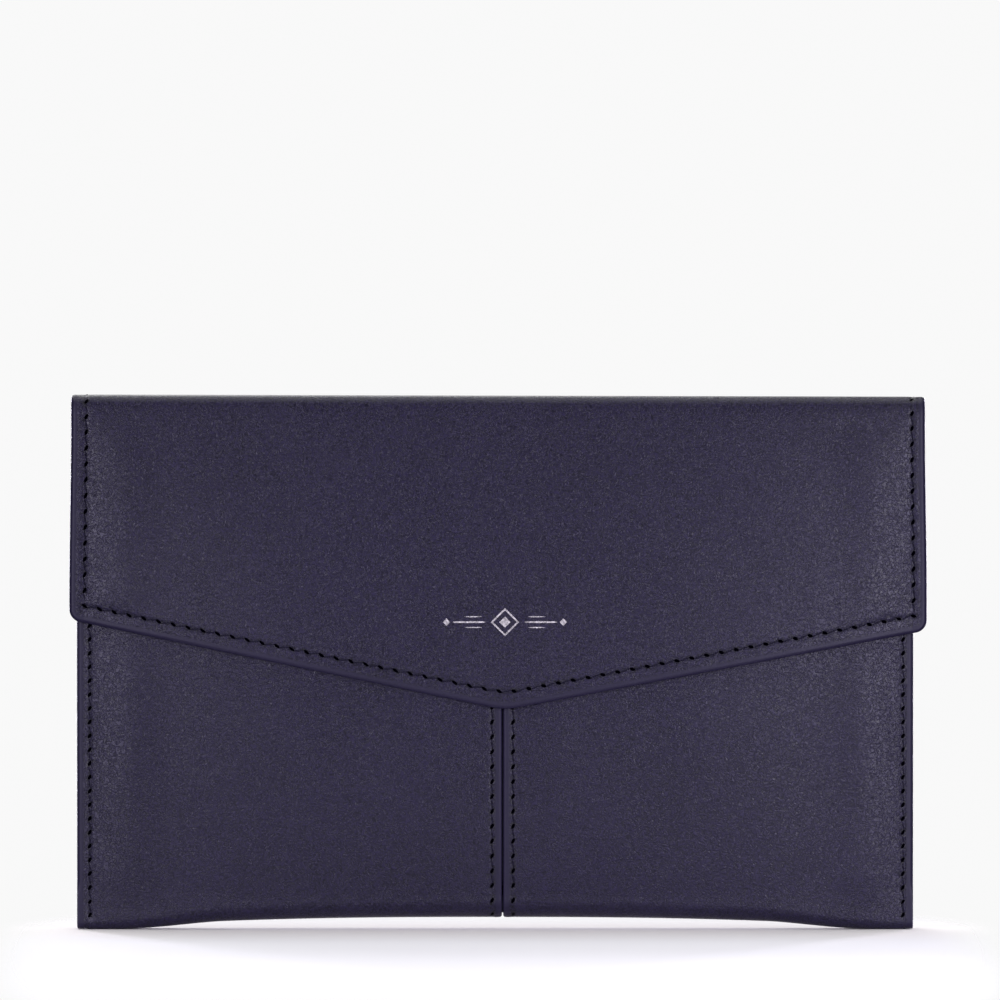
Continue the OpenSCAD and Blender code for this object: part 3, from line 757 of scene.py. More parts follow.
def flap_leather():
    """The flap's outer leather, over the front corner to the middle of the top strip."""
    points, length, face = flap_grid()
    x, z = points[..., 0], points[..., 2]
    edge = flap_edge(points, face)
    line_x = np.where(x > 0, CORNER_RIGHT_X, CORNER_LEFT_X)
    across_a = line_x * flap_half_at(z) / FLAP_HALF - x
    along_a = (length - v_edge(line_x, FLAP_MARGIN_LOW)) / PITCH_FLAP_SIDE + 0.5
    on_a = (np.abs(across_a) < LINE_REACH) & (along_a > 1.0)
    across_b = z - v_edge(x, FLAP_MARGIN_LOW)
    along_b = (x - CORNER_LEFT_X) / (CORNER_RIGHT_X - CORNER_LEFT_X) * V_COUNT + 0.5
    on_b = (np.abs(across_b) < LINE_REACH) & (along_b > 0.2) & (along_b < V_COUNT + 0.8)
    on_b[:, face:] = False
    pressed = groove(across_a, on_a) + groove(across_b, on_b) - 0.025 * bump_at(edge, TURNED_EDGE, 0.4)
    padded = ridge(flap_half_at(z) - np.abs(x) - 3.3) * smooth((ROUND_Z - 3 - z) / 6)
    relief = np.maximum(pressed, -0.16) + on_board(x, z, edge) + padded * smooth((edge - 3) / 4)
    piece = shell("flap_leather", lean(points), FLAP_SKIN, OUTER, edge, relief=relief,
                  free=OPEN_TOP, stitch_a=stitch_field(along_a, across_a, on_a),
                  stitch_b=stitch_field(along_b, across_b, on_b))
    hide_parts("flap_panel", "top_fold")
    flap_bend(piece)


def flap_bend(piece):
    """Bakes a piece's placement into its mesh, for a piece over the corner between the top strip and the
    flap.
    """
    start = (0, FLAP_ROUND_Y * MM, TOP_Z * MM)
    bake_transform(piece)


def back_bend(piece):
    """Bakes a piece's placement into its mesh, for a piece over the corner between the back wall and the top
    strip.
    """
    start = (0, TOP_BACK_Y * MM, BEND_LOW_Z * MM)
    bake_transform(piece)


def flap_inside():
    """The flap's own lining leather, set in from the turned edge, up to the middle of the top strip."""
    points, _, face = flap_grid(INSIDE_INSET, FLAP_T, INSIDE_STEP, False)
    edge = flap_edge(points, face, INSIDE_INSET)
    x, z = points[..., 0], points[..., 2]
    across = z - v_edge(x, FLAP_MARGIN_LOW + 0.1)
    on = (np.abs(across) < LINE_REACH) & (np.abs(x) < FLAP_HALF - 3.2)
    on[:, face:] = False
    magnet = MAGNET_RISE * smooth((MAGNET_R - np.hypot(x - FLAP_TIP_X, z - MAGNET_Z)) / 1.6)
    piece = shell("flap_inside", lean(points), INSIDE_T, INNER, edge, flip=True,
                  free=OPEN_TOP, relief=magnet - 0.06 * bump_at(across, 0, 0.5) * on,
                  stitch_b=stitch_field((x - CORNER_LEFT_X) / PITCH_V + 0.5, across, on))
    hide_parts("flap_lining", "top_fold_lining")
    flap_bend(piece)


def widening(z):
    """How far the back has widened from the pouch to the flap."""
    return smooth((z - WIDEN_FROM_Z) / WIDEN_OVER)


def back_width(z):
    """The back's middle and half its width at a height."""
    widen = widening(z)
    return mix(POUCH_X, 0.0, widen), mix(HALF_W, flap_half_at(np.array(TOP_Z)), widen)


def back_grid(low_z, inset=0.0, depth=0.0, step=0.8, lines=(), row_lines=()):
    """Points of the back wall from low_z over the back corner to the middle of the top, the length along
    each column, the number of rows on the wall, and the distance to the sides."""
    xs = stations(POUCH_LEFT + inset, POUCH_RIGHT - inset, step, lines)
    rows = stations(low_z, ROUND_Z, step * 1.2, row_lines, edges=(True, False))
    radius = ROUND_R - depth
    y_flat = np.linspace(BACK_ROUND_Y, TOP_MID_Y, 5)[1:]
    round_z, flat_z = ROUND_Z + radius * np.sin(TOP_ANGLES), np.full(len(y_flat), TOP_Z - depth)
    profile_z = np.concatenate([rows, round_z, flat_z])
    middle, half = back_width(profile_z)
    x = middle + ((xs - POUCH_X) / HALF_W)[:, None] * half
    z = profile_z + 0 * x
    face = len(rows)
    over = np.concatenate([BACK_ROUND_Y + radius * np.cos(TOP_ANGLES), y_flat])
    y = np.concatenate([back_y(x[:, :face], z[:, :face], depth), np.tile(over, (len(xs), 1))], axis=1)
    points = np.stack([x, y, z], axis=-1)
    soften(points, face - 6, face + 3)
    length = np.concatenate([rows, ROUND_Z + TOP_ANGLES * ROUND_R, ROUND_Z + QUARTER + BACK_ROUND_Y - y_flat])
    return points, length + 0 * x, face, half - np.abs(x - middle) - inset


def back_leather():
    """The back's outer leather, over the back corner to the middle of the top strip."""
    points, length, face, side = back_grid(BACK_EDGE_Z, lines=(BACK_LEFT_LINE, BACK_RIGHT_LINE),
                                           row_lines=(BACK_ROW_Z,))
    x, z = points[..., 0], points[..., 2]
    edge = rounded_min(z - BACK_EDGE_Z, side, 1.5)
    edge[:, face:] = side[:, face:]
    inside = side - np.where(x > 0, MARGIN_RIGHT, MARGIN_LEFT)
    across_a = np.where(x > 0, inside, -inside)
    on_a = (np.abs(across_a) < LINE_REACH) & (z > BACK_ROW_Z - 0.4)
    across_b = z - BACK_ROW_Z
    on_b = (np.abs(across_b) < LINE_REACH) & (side > LINE_REACH)
    relief = groove(across_a, on_a) + groove(across_b, on_b) - 0.16 * smooth((-inside - 0.2) / 0.8)
    relief = np.maximum(relief, -0.22) + on_board(x + 40, z, edge)
    piece = shell("back_leather", lean(points), LEATHER, OUTER, np.maximum(edge, 0), flip=True, relief=relief,
                  free=OPEN_TOP,
                  stitch_a=stitch_field((length - BACK_ROW_Z) / PITCH_BODY + 0.5, across_a, on_a),
                  stitch_b=stitch_field((x - BACK_LEFT_LINE) / PITCH_BODY + 0.5, across_b, on_b))
    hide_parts("back_panel")
    back_bend(piece)


def top_inside():
    """The lining leather from above the zip, round the back corner, to the middle of the top strip."""
    points, _, face, side = back_grid(TOP_INSIDE_LOW, INSIDE_INSET, BACK_T, INSIDE_STEP)
    edge = np.minimum(side, points[..., 2] - TOP_INSIDE_LOW)
    edge[:, face:] = side[:, face:]
    piece = shell("top_inside", lean(points), INSIDE_T, INNER, np.maximum(edge, 0), free=OPEN_TOP)
    back_bend(piece)


# ---------------------------------------------------------------- the front
def fold_r(x):
    """Radius of the bottom fold's two bends."""
    return mix(FOLD_R_SIDE, FOLD_R_MIDDLE, crown(x))


def front_profile(xs):
    """Points of the front for a column of x: from under the back's lower edge, down the back, round
    the bottom fold and up to the mouth. Also their heights before the fold's kink is softened, and
    which of them are in front."""
    tuck_z = np.linspace(TUCK_TOP, FOLD_TOP, 15)[None, :]
    face_z = stations(FOLD_TOP, MOUTH_Z, 0.8, edges=(False, True))[None, :]
    radius, floor = fold_r(xs), rise(xs)
    back_a, front_a = back_y(xs, FOLD_TOP), front_y(xs, FOLD_TOP)
    wall = np.linspace(0, 1, 6)[None, 1:-1]
    flat = np.linspace(0, 1, 8)[None, 1:-1]
    turn = np.linspace(0, math.pi / 2, 9)[None, :]
    down_z = mix(FOLD_TOP, floor + radius, wall)
    up_z = mix(floor + radius, FOLD_TOP, wall)
    arc_y = radius * (1 - np.cos(turn))
    arc_z = floor + radius * (1 - np.sin(turn))
    z = np.concatenate([tuck_z + 0 * xs, down_z, arc_z, floor + 0 * flat, arc_z[:, ::-1], up_z,
                        face_z + 0 * xs], axis=1)
    y = np.concatenate([back_y(xs, tuck_z, TUCK_DEPTH * smooth((tuck_z - FOLD_TOP) / TUCK_EASE)),
                        back_a + 0 * down_z, back_a - arc_y, mix(back_a - radius, front_a + radius, flat),
                        front_a + arc_y[:, ::-1], front_a + 0 * up_z, front_y(xs, face_z)], axis=1)
    points = np.stack([xs + 0 * z, y, z], axis=-1)
    face = z.shape[1] - face_z.shape[1]
    soften(points, face - 3, face + 4, 8)
    front = np.zeros(z.shape, bool)
    front[:, face - wall.shape[1] - turn.shape[1]:] = True
    return points, z, front


def front_leather(side):
    """One half of the front, with turned edges at its side and its mouth."""
    left = side < 0
    half, margin = ("left", MARGIN_LEFT) if left else ("right", MARGIN_RIGHT)
    outer_x, inner_x = POUCH_LEFT if left else POUCH_RIGHT, SEAM_X + side * SEAM_GAP
    line_x, seam_x = outer_x - side * margin, SEAM_X + side * SEAM_OFFSET
    xs = stations(min(outer_x, inner_x), max(outer_x, inner_x), 0.62, (line_x, seam_x))
    points, z, front = front_profile(xs[:, None])
    x = points[..., 0]
    d_side, d_seam = np.abs(x - outer_x), np.abs(x - inner_x)
    d_mouth = np.where(front, MOUTH_Z - z, FAR)
    edge = np.minimum(np.minimum(d_side, d_seam), np.maximum(d_mouth, 0))
    turned = np.maximum(smooth((z - 99) / 1.5), smooth(4.6 - d_side)) * smooth((z - FOLD_TOP) / 3) * front
    across_a, across_b = line_x - x, seam_x - x
    on_a = (np.abs(across_a) < FINE_REACH) & front & (z > SIDE_START_Z - 0.6)
    on_b = (np.abs(across_b) < FINE_REACH) & front & (z > rise(x) + 0.5)
    outside = smooth((margin - d_side - 0.2) / 0.8)
    pressed = groove(across_a, on_a) + groove(across_b, on_b, 0.09) - 0.2 * outside
    swell = 0.05 * bump_at(d_seam, 1.2, 0.6) * front
    uneven = wave(x * 1.1 + 9 * side, z) * smooth((edge - 4) / 8) * smooth((z - 12) / 10)
    fuller_below = 1 + 0.7 * smooth((66 - z) / 10)
    padded = fuller_below * ridge(d_side - margin) + 0.5 * ridge(d_seam - SEAM_OFFSET)
    relief = np.maximum(pressed, -0.26) + swell + uneven + padded * front * smooth((z - rise(x) - 3) / 10)
    piece = shell(f"front_leather_{half}", points, mix(LEATHER, FRONT_T, turned), OUTER, edge, relief=relief,
                  free=(True, True, False, True),
                  stitch_a=stitch_field((z - SIDE_START_Z) / PITCH_BODY + 0.5, across_a, on_a),
                  stitch_b=stitch_field((z - SIDE_START_Z) / PITCH_SEAM + 0.5, across_b, on_b))
    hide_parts(f"front_panel_{half}", f"bottom_fold_{half}")
    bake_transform(piece)


def flat_layer(name, xs, zs, face, thickness, material, body, facing_front=True, relief=None, rows_a=(),
               rows_b=(), pitch=PITCH_BODY, margin=2.0):
    """A sheet over a rectangle of the wallet's face. face(x, z) gives y of the side that shows; rows_a are
    the x of upright stitch rows, rows_b the z of level ones."""
    x, z = np.meshgrid(xs, zs, indexing="ij")
    to_side, to_end = np.minimum(x - xs[0], xs[-1] - x), np.minimum(z - zs[0], zs[-1] - z)
    bumps = np.zeros(x.shape) if relief is None else relief(x, z)
    fields = []
    for lines, along, value in ((rows_a, z, x), (rows_b, x, z)):
        across, on = np.full(x.shape, 9.0), np.zeros(x.shape, bool)
        for line in lines:
            near = np.abs(value - line) < FINE_REACH
            across = np.where(near, value - line, across)
            on |= near & (to_side > margin) & (to_end > margin)
        fields.append(stitch_field(along / pitch, across, on))
        bumps = bumps + groove(across, on, 0.07)
    points = np.stack([x, face(x, z), z], axis=-1)
    piece = shell(name, points, thickness, material, np.minimum(to_side, to_end), flip=not facing_front,
                  relief=bumps, stitch_a=fields[0], stitch_b=fields[1])
    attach(piece, body)
    return piece


def level_face(low):
    """The face of a flat piece whose front stands at one depth."""
    return lambda x, z: low[1] + 0 * x


def front_inside():
    """The cloth that lines the front wall."""
    xs = stations(POUCH_LEFT + CLOTH_SIDE, POUCH_RIGHT - CLOTH_SIDE, 1.3)
    zs = stations(CLOTH_LOW, MOUTH_Z - CLOTH_DROP, 1.3)
    piece = flat_layer("front_inside", xs, zs, lambda x, z: front_y(x, z, FRONT_T + 0.1), CLOTH_T, LINING,
                       "front_wall", facing_front=False)
    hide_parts("front_lining")


def card_face(layers):
    """Front of the card panel (0 layers) or of card strip number layers."""
    depth = CARD_T + (GLUE + STRIP_T) * layers
    return lambda x, z: back_y(x, z, pocket_depth(x, z) + depth)


def card_panel():
    """The panel that the card strips are sewn to."""
    xs = stations(POUCH_LEFT + 0.8, POUCH_RIGHT - 0.8, 1.2)
    row = CARD_HIGH[2] - CARD_ROW
    zs = stations(CARD_LOW[2], CARD_HIGH[2], 1.3, (row,))
    piece = flat_layer("card_back", xs, zs, card_face(0), CARD_T, INNER, "pouch", rows_b=(row,))
    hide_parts("card_panel")


def card_strip(number):
    """One strip of card slots: its top edge is turned over, and gapes a little in the middle of each slot."""
    top = STRIP_TOP - (number - 1) * STRIP_STEP
    low = box_mm(f"card_strip_{number}")[0][2]
    uprights = (POUCH_X, POUCH_X - STRIP_HALF + STRIP_MARGIN, POUCH_X + STRIP_HALF - STRIP_MARGIN)
    xs = stations(POUCH_X - STRIP_HALF, POUCH_X + STRIP_HALF, 1.1, uprights)
    zs = stations(low, top, 1.3, (top - CARD_ROW,), edges=(False, True))

    def turned_top(x, z):
        gape = 0.35 * smooth((z - top + 12) / 12) * np.sin(np.pi * np.abs(x - POUCH_X) / STRIP_HALF) ** 2
        return STRIP_TURN * smooth((z - top + 8.5) / 0.8) + gape

    piece = flat_layer(f"card_slot_{number}", xs, zs, card_face(number), STRIP_T + 0.2, INNER, "pouch",
                       relief=turned_top, rows_a=uprights, rows_b=(top - CARD_ROW,), margin=1.2)
    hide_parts(f"card_strip_{number}")


def divider():
    xs = stations(DIVIDER_LOW[0], DIVIDER_HIGH[0], 1.2)
    row = DIVIDER_HIGH[2] - DIVIDER_ROW
    zs = stations(DIVIDER_LOW[2], DIVIDER_HIGH[2], 1.3, (row,))
    piece = flat_layer("divider_leather", xs, zs, level_face(DIVIDER_LOW), DIVIDER_HIGH[1] - DIVIDER_LOW[1],
                       INNER, "divider", rows_b=(row,))
    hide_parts("divider")


def gusset(side):
    """A side gusset: two leaves that meet in a soft inward fold, closing towards the bottom."""
    half, outer_x = ("left", POUCH_LEFT) if side < 0 else ("right", POUCH_RIGHT)
    edge_x = outer_x - side * GUSSET_INSET
    leaf = np.linspace(0.3, 1, 12)[1:]
    t = np.concatenate([-leaf[::-1], np.linspace(-0.3, 0.3, 17), leaf])[:, None]
    zs = [GUSSET_LOW, 3.6, 4.2, *np.linspace(5, 105.6, 80), 106.2, 106.6, GUSSET_TOP]
    z = np.array(zs)[None, :]
    front = front_y(edge_x, z, np.where(z > FOLD_TOP, FRONT_T, LEATHER) + GUSSET_GAP)
    back = back_y(edge_x, z, BACK_T + CARD_T + GUSSET_GAP)
    middle = mix((front + back) / 2, (DIVIDER_LOW[1] + DIVIDER_HIGH[1]) / 2, smooth((z - 8) / 20))
    y = middle + np.where(t < 0, front - middle, back - middle) * np.abs(t) ** 0.9
    depth = GUSSET_DEPTH * smooth((z + 4) / 30)
    x = edge_x - side * depth * (1 - np.abs(t) ** 1.35)
    edge = np.minimum(z - GUSSET_LOW, GUSSET_TOP - z) + 0 * y
    ripples = 0.12 * np.sin(z / 5.1) * (1 - np.abs(t))
    piece = shell(f"gusset_leather_{half}", np.stack([x, y, z + 0 * y], axis=-1), GUSSET_T, INNER, edge,
                  flip=side > 0, relief=ripples, free=(False, False, True, True))
    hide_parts(f"gusset_{half}")
    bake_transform(piece)


# ---------------------------------------------------------------- small solids
def chamfered(centre, size, bevel):
    """Points and faces of a block with bevelled edges. Each corner has three points, one on each face."""
    half = np.array(size) / 2
    signs = [(x, y, z) for x in (-1, 1) for y in (-1, 1) for z in (-1, 1)]
    points = [centre + np.array(sign) * np.where(np.arange(3) == axis, half, half - bevel)
              for sign in signs for axis in range(3)]

    def corner(axis, *turned):
        """The first of a corner's points, from its signs along axis and the two axes after it."""
        return 3 * signs.index(tuple(np.roll(turned, axis)))

    faces = []
    for axis in range(3):
        after = (axis + 1) % 3
        for sign in (-1, 1):
            ring = [corner(axis, sign, *rest) + axis for rest in ((-1, -1), (1, -1), (1, 1), (-1, 1))]
            faces.append(ring[::sign])
            for other in (-1, 1):
                low, high = corner(axis, sign, other, -1), corner(axis, sign, other, 1)
                faces.append([low + axis, high + axis, high + after, low + after][::sign * other])
    faces += [[3 * n, 3 * n + 1, 3 * n + 2][::math.prod(sign)] for n, sign in enumerate(signs)]
    return points, faces


def turned_part(profile, centre, sides=40):
    """A solid turned about the line along Y through centre, from (radius, y) pairs. The first and the last
    pair are on that line."""
    points, faces, rings = [], [], []
    angles = 2 * math.pi * np.arange(sides) / sides
    for radius, y in profile:
        ring = angles if radius else angles[:1]
        rings.append(list(range(len(points), len(points) + len(ring))))
        for angle in ring:
            out = radius * np.array([math.cos(angle), 0.0, math.sin(angle)])
            points.append(out + (centre[0], y, centre[2]))
    for one, two in zip(rings, rings[1:]):
        for k in range(sides):
            m = (k + 1) % sides
            ring = [one[k % len(one)], one[m % len(one)], two[m % len(two)], two[k % len(two)]]
            faces.append([v for n, v in enumerate(ring) if v != ring[n - 1]])
    return points, faces


def joined(name, parts, material, smooth_faces=False):
    """One piece from several (points, faces) lists."""
    points, faces = [], []
    for some_points, some_faces in parts:
        faces += [[len(points) + v for v in f] for f in some_faces]
        points += list(some_points)
    return make_piece(name, np.array(points), faces, material, smooth_faces, edge=np.full(len(points), 9.0))


def ring_faces(count, around):
    """Faces of a closed ring of count sections that have around points each."""
    faces = []
    for k in range(count):
        m = (k + 1) % count
        for n in range(around):
            p = (n + 1) % around
            faces.append([k * around + n, m * around + n, m * around + p, k * around + p])
    return faces


TOOTH_PITCH, TOOTH_SHARE = 2.4, 0.44
STOP_WIDTH = 1.6
PLATE_T = 0.7
SHOULDER_Z, SHOULDER_SIZE = 2.35, (7.2, 0.85, 0.5)
LINK_HOLE, LINK_BEVEL, LINK_SIDES = 0.9, 0.14, 64


def zip_tape(name):
    """A woven tape with a corded edge beside the teeth."""
    low, high = box_mm(name)
    xs = stations(low[0], high[0], 1.4, edges=(False, False))
    zs = stations(low[2], high[2], 0.22, edges=(False, False))
    inner = low[2] if name.endswith("upper") else high[2]
    piece = flat_layer(f"{name}_weave", xs, zs, level_face(low), high[1] - low[1], TAPE, "pouch",
                       relief=lambda x, z: 0.12 * bump_at(z, inner, 0.5) + 0.03 * np.sin(z * 9))
    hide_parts(name)


def zip_teeth(name, up):
    """A row of teeth: a block on the tape, and a head that reaches between the other row's teeth."""
    low, high = box_mm(name)
    width = TOOTH_PITCH * TOOTH_SHARE
    middle = (low + high) / 2
    count = round((high[0] - low[0] - width) / TOOTH_PITCH) + 1
    parts = []
    for x in low[0] + width / 2 + TOOTH_PITCH * np.arange(count):
        block = (width, high[1] - low[1], high[2] - low[2] - 0.5)
        parts.append(chamfered((x, middle[1], middle[2] - up * 0.25), block, 0.16))
        parts.append(chamfered((x, middle[1], middle[2] + up * 0.55), (width * 1.16, 0.62, 0.7), 0.2))
    piece = joined(f"{name}_metal", parts, ZIP_METAL)
    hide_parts(name)
    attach(piece, "pouch")


def zip_stops():
    low, high = box_mm("zip_stops")
    middle = (low + high) / 2
    size = (STOP_WIDTH, high[1] - low[1], high[2] - low[2])
    ends = [chamfered((x, middle[1], middle[2]), size, 0.3)
            for x in (low[0] + STOP_WIDTH / 2, high[0] - STOP_WIDTH / 2)]
    piece = joined("zip_end_stops", ends, ZIP_METAL)
    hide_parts("zip_stops")
    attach(piece, "pouch")


def zip_header():
    """The leather strip above the zip."""
    low, high = box_mm("zip_header")
    piece = flat_layer("zip_header_leather", stations(low[0], high[0], 1.4), stations(low[2], high[2], 0.3),
                       level_face(low), high[1] - low[1], INNER, "pouch")
    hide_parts("zip_header")


def zip_slider():
    """The slider's body with its shoulders and riveted post."""
    centre = (SLIDER_LOW + SLIDER_HIGH) / 2
    plate_front = SLIDER_HIGH[1] - PLATE_T
    plate_y = (plate_front + SLIDER_HIGH[1]) / 2
    plate_size = (SLIDER_HIGH[0] - SLIDER_LOW[0], PLATE_T, SLIDER_HIGH[2] - SLIDER_LOW[2])
    parts = [chamfered((centre[0], plate_y, centre[2]), plate_size, 0.25)]
    for side in (-1, 1):
        parts.append(chamfered((centre[0], plate_y + 0.1, centre[2] + side * SHOULDER_Z), SHOULDER_SIZE, 0.2))
    head = SLIDER_LOW[1]
    neck, foot = head + 0.4, plate_front + 0.1
    post = [(0, head), (0.9, head), (1.25, head + 0.1), (1.4, head + 0.25), (1.35, neck - 0.02), (0.8, neck),
            (0.8, foot), (0, foot)]
    piece = joined("slider_body", [*parts, turned_part(post, centre)], POLISHED)
    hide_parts("zip_slider")
    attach(piece, "slider")


def pull_tab():
    xs = stations(TAB_LOW[0], TAB_HIGH[0], 0.3)
    zs = stations(TAB_LOW[2], TAB_HIGH[2], 0.3)
    piece = flat_layer("tab_leather", xs, zs, level_face(TAB_LOW), TAB_HIGH[1] - TAB_LOW[1], OUTER, "puller",
                       rows_a=(xs[0] + 1.1, xs[-1] - 1.1), pitch=2.0, margin=0.8)
    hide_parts("pull_tab")


def pull_link():
    """A flat link: round at the top, straight below, with bevelled rims and a round hole for the post."""
    hole, bevel = LINK_HOLE, LINK_BEVEL
    centre = (SLIDER_LOW + SLIDER_HIGH) / 2
    half, below = (LINK_HIGH[0] - LINK_LOW[0]) / 2, centre[2] - LINK_LOW[2]
    front, back = LINK_LOW[1], LINK_HIGH[1]
    points = []
    for angle in 2 * math.pi * np.arange(LINK_SIDES) / LINK_SIDES:
        dx, dz = math.cos(angle), math.sin(angle)
        far = half if dz >= 0 else min(half / max(abs(dx), 1e-6), below / max(abs(dz), 1e-6))
        for r, y in ((hole, front + bevel), (hole + bevel, front), (far - bevel, front), (far, front + bevel),
                     (far, back - bevel), (far - bevel, back), (hole + bevel, back), (hole, back - bevel)):
            points.append(np.array([centre[0] + r * dx, y, centre[2] + r * dz]))
    piece = joined("link_metal", [(points, ring_faces(LINK_SIDES, 8))], POLISHED)
    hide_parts("pull_link")
    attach(piece, "puller")


def patch_piece():
    """The round leather patch that covers the magnet in the front wall."""
    centre = (PATCH_LOW + PATCH_HIGH) / 2
    low, high = PATCH_LOW[1] - 0.3, PATCH_HIGH[1]
    radius = (PATCH_HIGH[0] - PATCH_LOW[0]) / 2
    profile = [(0, low), (radius - 0.1, low), (radius, high - 0.6), (radius - 0.3, high - 0.4),
               (8.6, high - 0.42), (7.6, high - 0.3), (6.4, high - 0.05), (5.0, high), (0, high)]
    piece = joined("magnet_cover", [turned_part(profile, centre, 72)], INNER, True)
    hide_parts("magnet_patch")
    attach(piece, "front_wall")


# ---------------------------------------------------------------- stitches and foil
def over_top_row(points, sign):
    """A leaning row of stitches over the top; sign turns the normals outwards."""
    normal = unit(np.cross((sign, 0.0, 0.0), np.gradient(points, axis=0)))
    return row_of(lean(points), normal[:-1])


def flap_threads():
    rows = []
    for x0 in (CORNER_LEFT_X, CORNER_RIGHT_X):
        start = float(v_edge(np.array(x0), FLAP_MARGIN_LOW))
        length = np.arange(0, ROUND_Z - start + QUARTER + TOP_MID_Y - FLAP_ROUND_Y, PITCH_FLAP_SIDE)
        x = x0 * flap_half_at(np.minimum(start + length, ROUND_Z)) / FLAP_HALF
        rows.append(over_top_row(top_path(x, length, start, flap_y, FLAP_ROUND_Y, 1), 1.0))
    xs = mix(CORNER_LEFT_X, CORNER_RIGHT_X, np.arange(V_COUNT + 1) / V_COUNT)
    start, end, normal = surface_row(flap_y, xs, v_edge(xs, FLAP_MARGIN_LOW))
    rows.append((lean(start), lean(end), normal))
    piece = stitches("flap_thread", rows, THREAD)
    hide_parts("flap_stitches")
    flap_bend(piece)


def back_threads():
    length = np.arange(0, ROUND_Z - BACK_ROW_Z + QUARTER + BACK_ROUND_Y - TOP_MID_Y, PITCH_BODY)
    rows = []
    for side, margin in ((-1, MARGIN_LEFT), (1, MARGIN_RIGHT)):
        z = top_path(0 * length, length, BACK_ROW_Z, back_y, BACK_ROUND_Y, -1)[:, 2]
        middle, half = back_width(z)
        x = middle + side * (half - margin)
        rows.append(over_top_row(top_path(x, length, BACK_ROW_Z, back_y, BACK_ROUND_Y, -1), -1.0))
    xs = np.arange(BACK_LEFT_LINE, BACK_RIGHT_LINE, PITCH_BODY)
    rows.append(surface_row(back_y, xs, BACK_ROW_Z))
    piece = stitches("back_thread", rows, THREAD)
    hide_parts("back_stitches")
    back_bend(piece)


def above_fold_y(x, z):
    """The front's surface, going straight down from the top of the bottom fold."""
    return front_y(x, np.maximum(z, FOLD_TOP))


def side_row_y(x, z):
    """The surface under a side row, whose lowest stitch sits proud, clear of the bottom lining."""
    return above_fold_y(x, z) - 0.26 * smooth((FOLD_TOP - 2 - z) / 2)


def front_threads():
    zs = np.arange(SIDE_START_Z, MOUTH_Z - 1, PITCH_BODY)
    rows = [surface_row(side_row_y, x, zs) for x in (BACK_LEFT_LINE, BACK_RIGHT_LINE)]
    piece = stitches("front_side_thread", rows, THREAD)
    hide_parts("front_side_stitches")
    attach(piece, "front_wall")
    zs = np.arange(SIDE_START_Z + 2 * PITCH_SEAM, MOUTH_Z - 1, PITCH_SEAM)
    rows = [surface_row(above_fold_y, SEAM_X + side * SEAM_OFFSET, zs) for side in (-1, 1)]
    piece = stitches("seam_thread", rows, THREAD)
    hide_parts("seam_stitches")
    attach(piece, "front_wall")


def inner_threads():
    """Threads of the card strips, the card panel and the divider."""
    xs = np.arange(POUCH_LEFT + 4, POUCH_RIGHT - 3, PITCH_BODY)
    xs = xs - np.mod(xs[0] / PITCH_BODY - 0.5, 1) * PITCH_BODY
    rows = [surface_row(card_face(0), xs, CARD_HIGH[2] - CARD_ROW)]
    inside = xs[np.abs(xs - POUCH_X) < STRIP_HALF - 3]
    for number in range(1, STRIP_COUNT + 1):
        turned = lambda x, z, n=number: card_face(n)(x, z) - STRIP_TURN
        rows.append(surface_row(turned, inside, STRIP_TOP - (number - 1) * STRIP_STEP - CARD_ROW))
    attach(stitches("card_thread", rows, THREAD, FINE_THREAD_R), "pouch")
    xs = inside[np.abs(inside - POUCH_X) < (DIVIDER_HIGH[0] - DIVIDER_LOW[0]) / 2 - 3]
    row = surface_row(level_face(DIVIDER_LOW), xs, DIVIDER_HIGH[2] - DIVIDER_ROW)
    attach(stitches("divider_thread", [row], THREAD, FINE_THREAD_R), "divider")


FOIL_UP, FOIL_DOWN, FOIL_CUT = 0.03, 0.12, 0.8


def on_flap(x, z, height):
    """A point at a height above the flap's leather, in the foil mark's own coordinates."""
    px, pz = FLAP_TIP_X + x, (FOIL_LOW[2] + FOIL_HIGH[2]) / 2 + z
    return np.array([px, float(flap_y(np.array(px), np.array(pz))) - height, pz])


def foil_ring(outer, inner):
    """A flat band between two closed outlines with the same corners."""
    points = []
    for k, (a, c) in enumerate(zip(outer, inner)):
        b, d = outer[(k + 1) % len(outer)], inner[(k + 1) % len(inner)]
        count = max(1, math.ceil(math.dist(a, b) / FOIL_CUT))
        for s in np.arange(count) / count:
            one, two = (mix(a[0], b[0], s), mix(a[1], b[1], s)), (mix(c[0], d[0], s), mix(c[1], d[1], s))
            points += [on_flap(*one, FOIL_UP), on_flap(*one, -FOIL_DOWN), on_flap(*two, -FOIL_DOWN),
                       on_flap(*two, FOIL_UP)]
    return points, ring_faces(len(points) // 4, 4)


def foil_bar(x0, x1, z, half):
    """A fine bar with pointed ends."""
    points = []
    xs = np.linspace(x0, x1, max(4, math.ceil(abs(x1 - x0) / FOIL_CUT)))
    for k, x in enumerate(xs):
        wide = half * min(1.0, (min(k, len(xs) - 1 - k) + 0.25) / 1.5)
        points += [on_flap(x, z - wide, FOIL_UP), on_flap(x, z + wide, FOIL_UP),
                   on_flap(x, z + wide, -FOIL_DOWN), on_flap(x, z - wide, -FOIL_DOWN)]
    last = len(points) - 4
    return points, [*tube_sides(len(xs), 4), [3, 2, 1, 0], [last, last + 1, last + 2, last + 3]]


def lozenge(size, x=0.0):
    """Corners of a square that stands on one of them."""
    return [(x - size, 0), (x, size), (x + size, 0), (x, -size)]


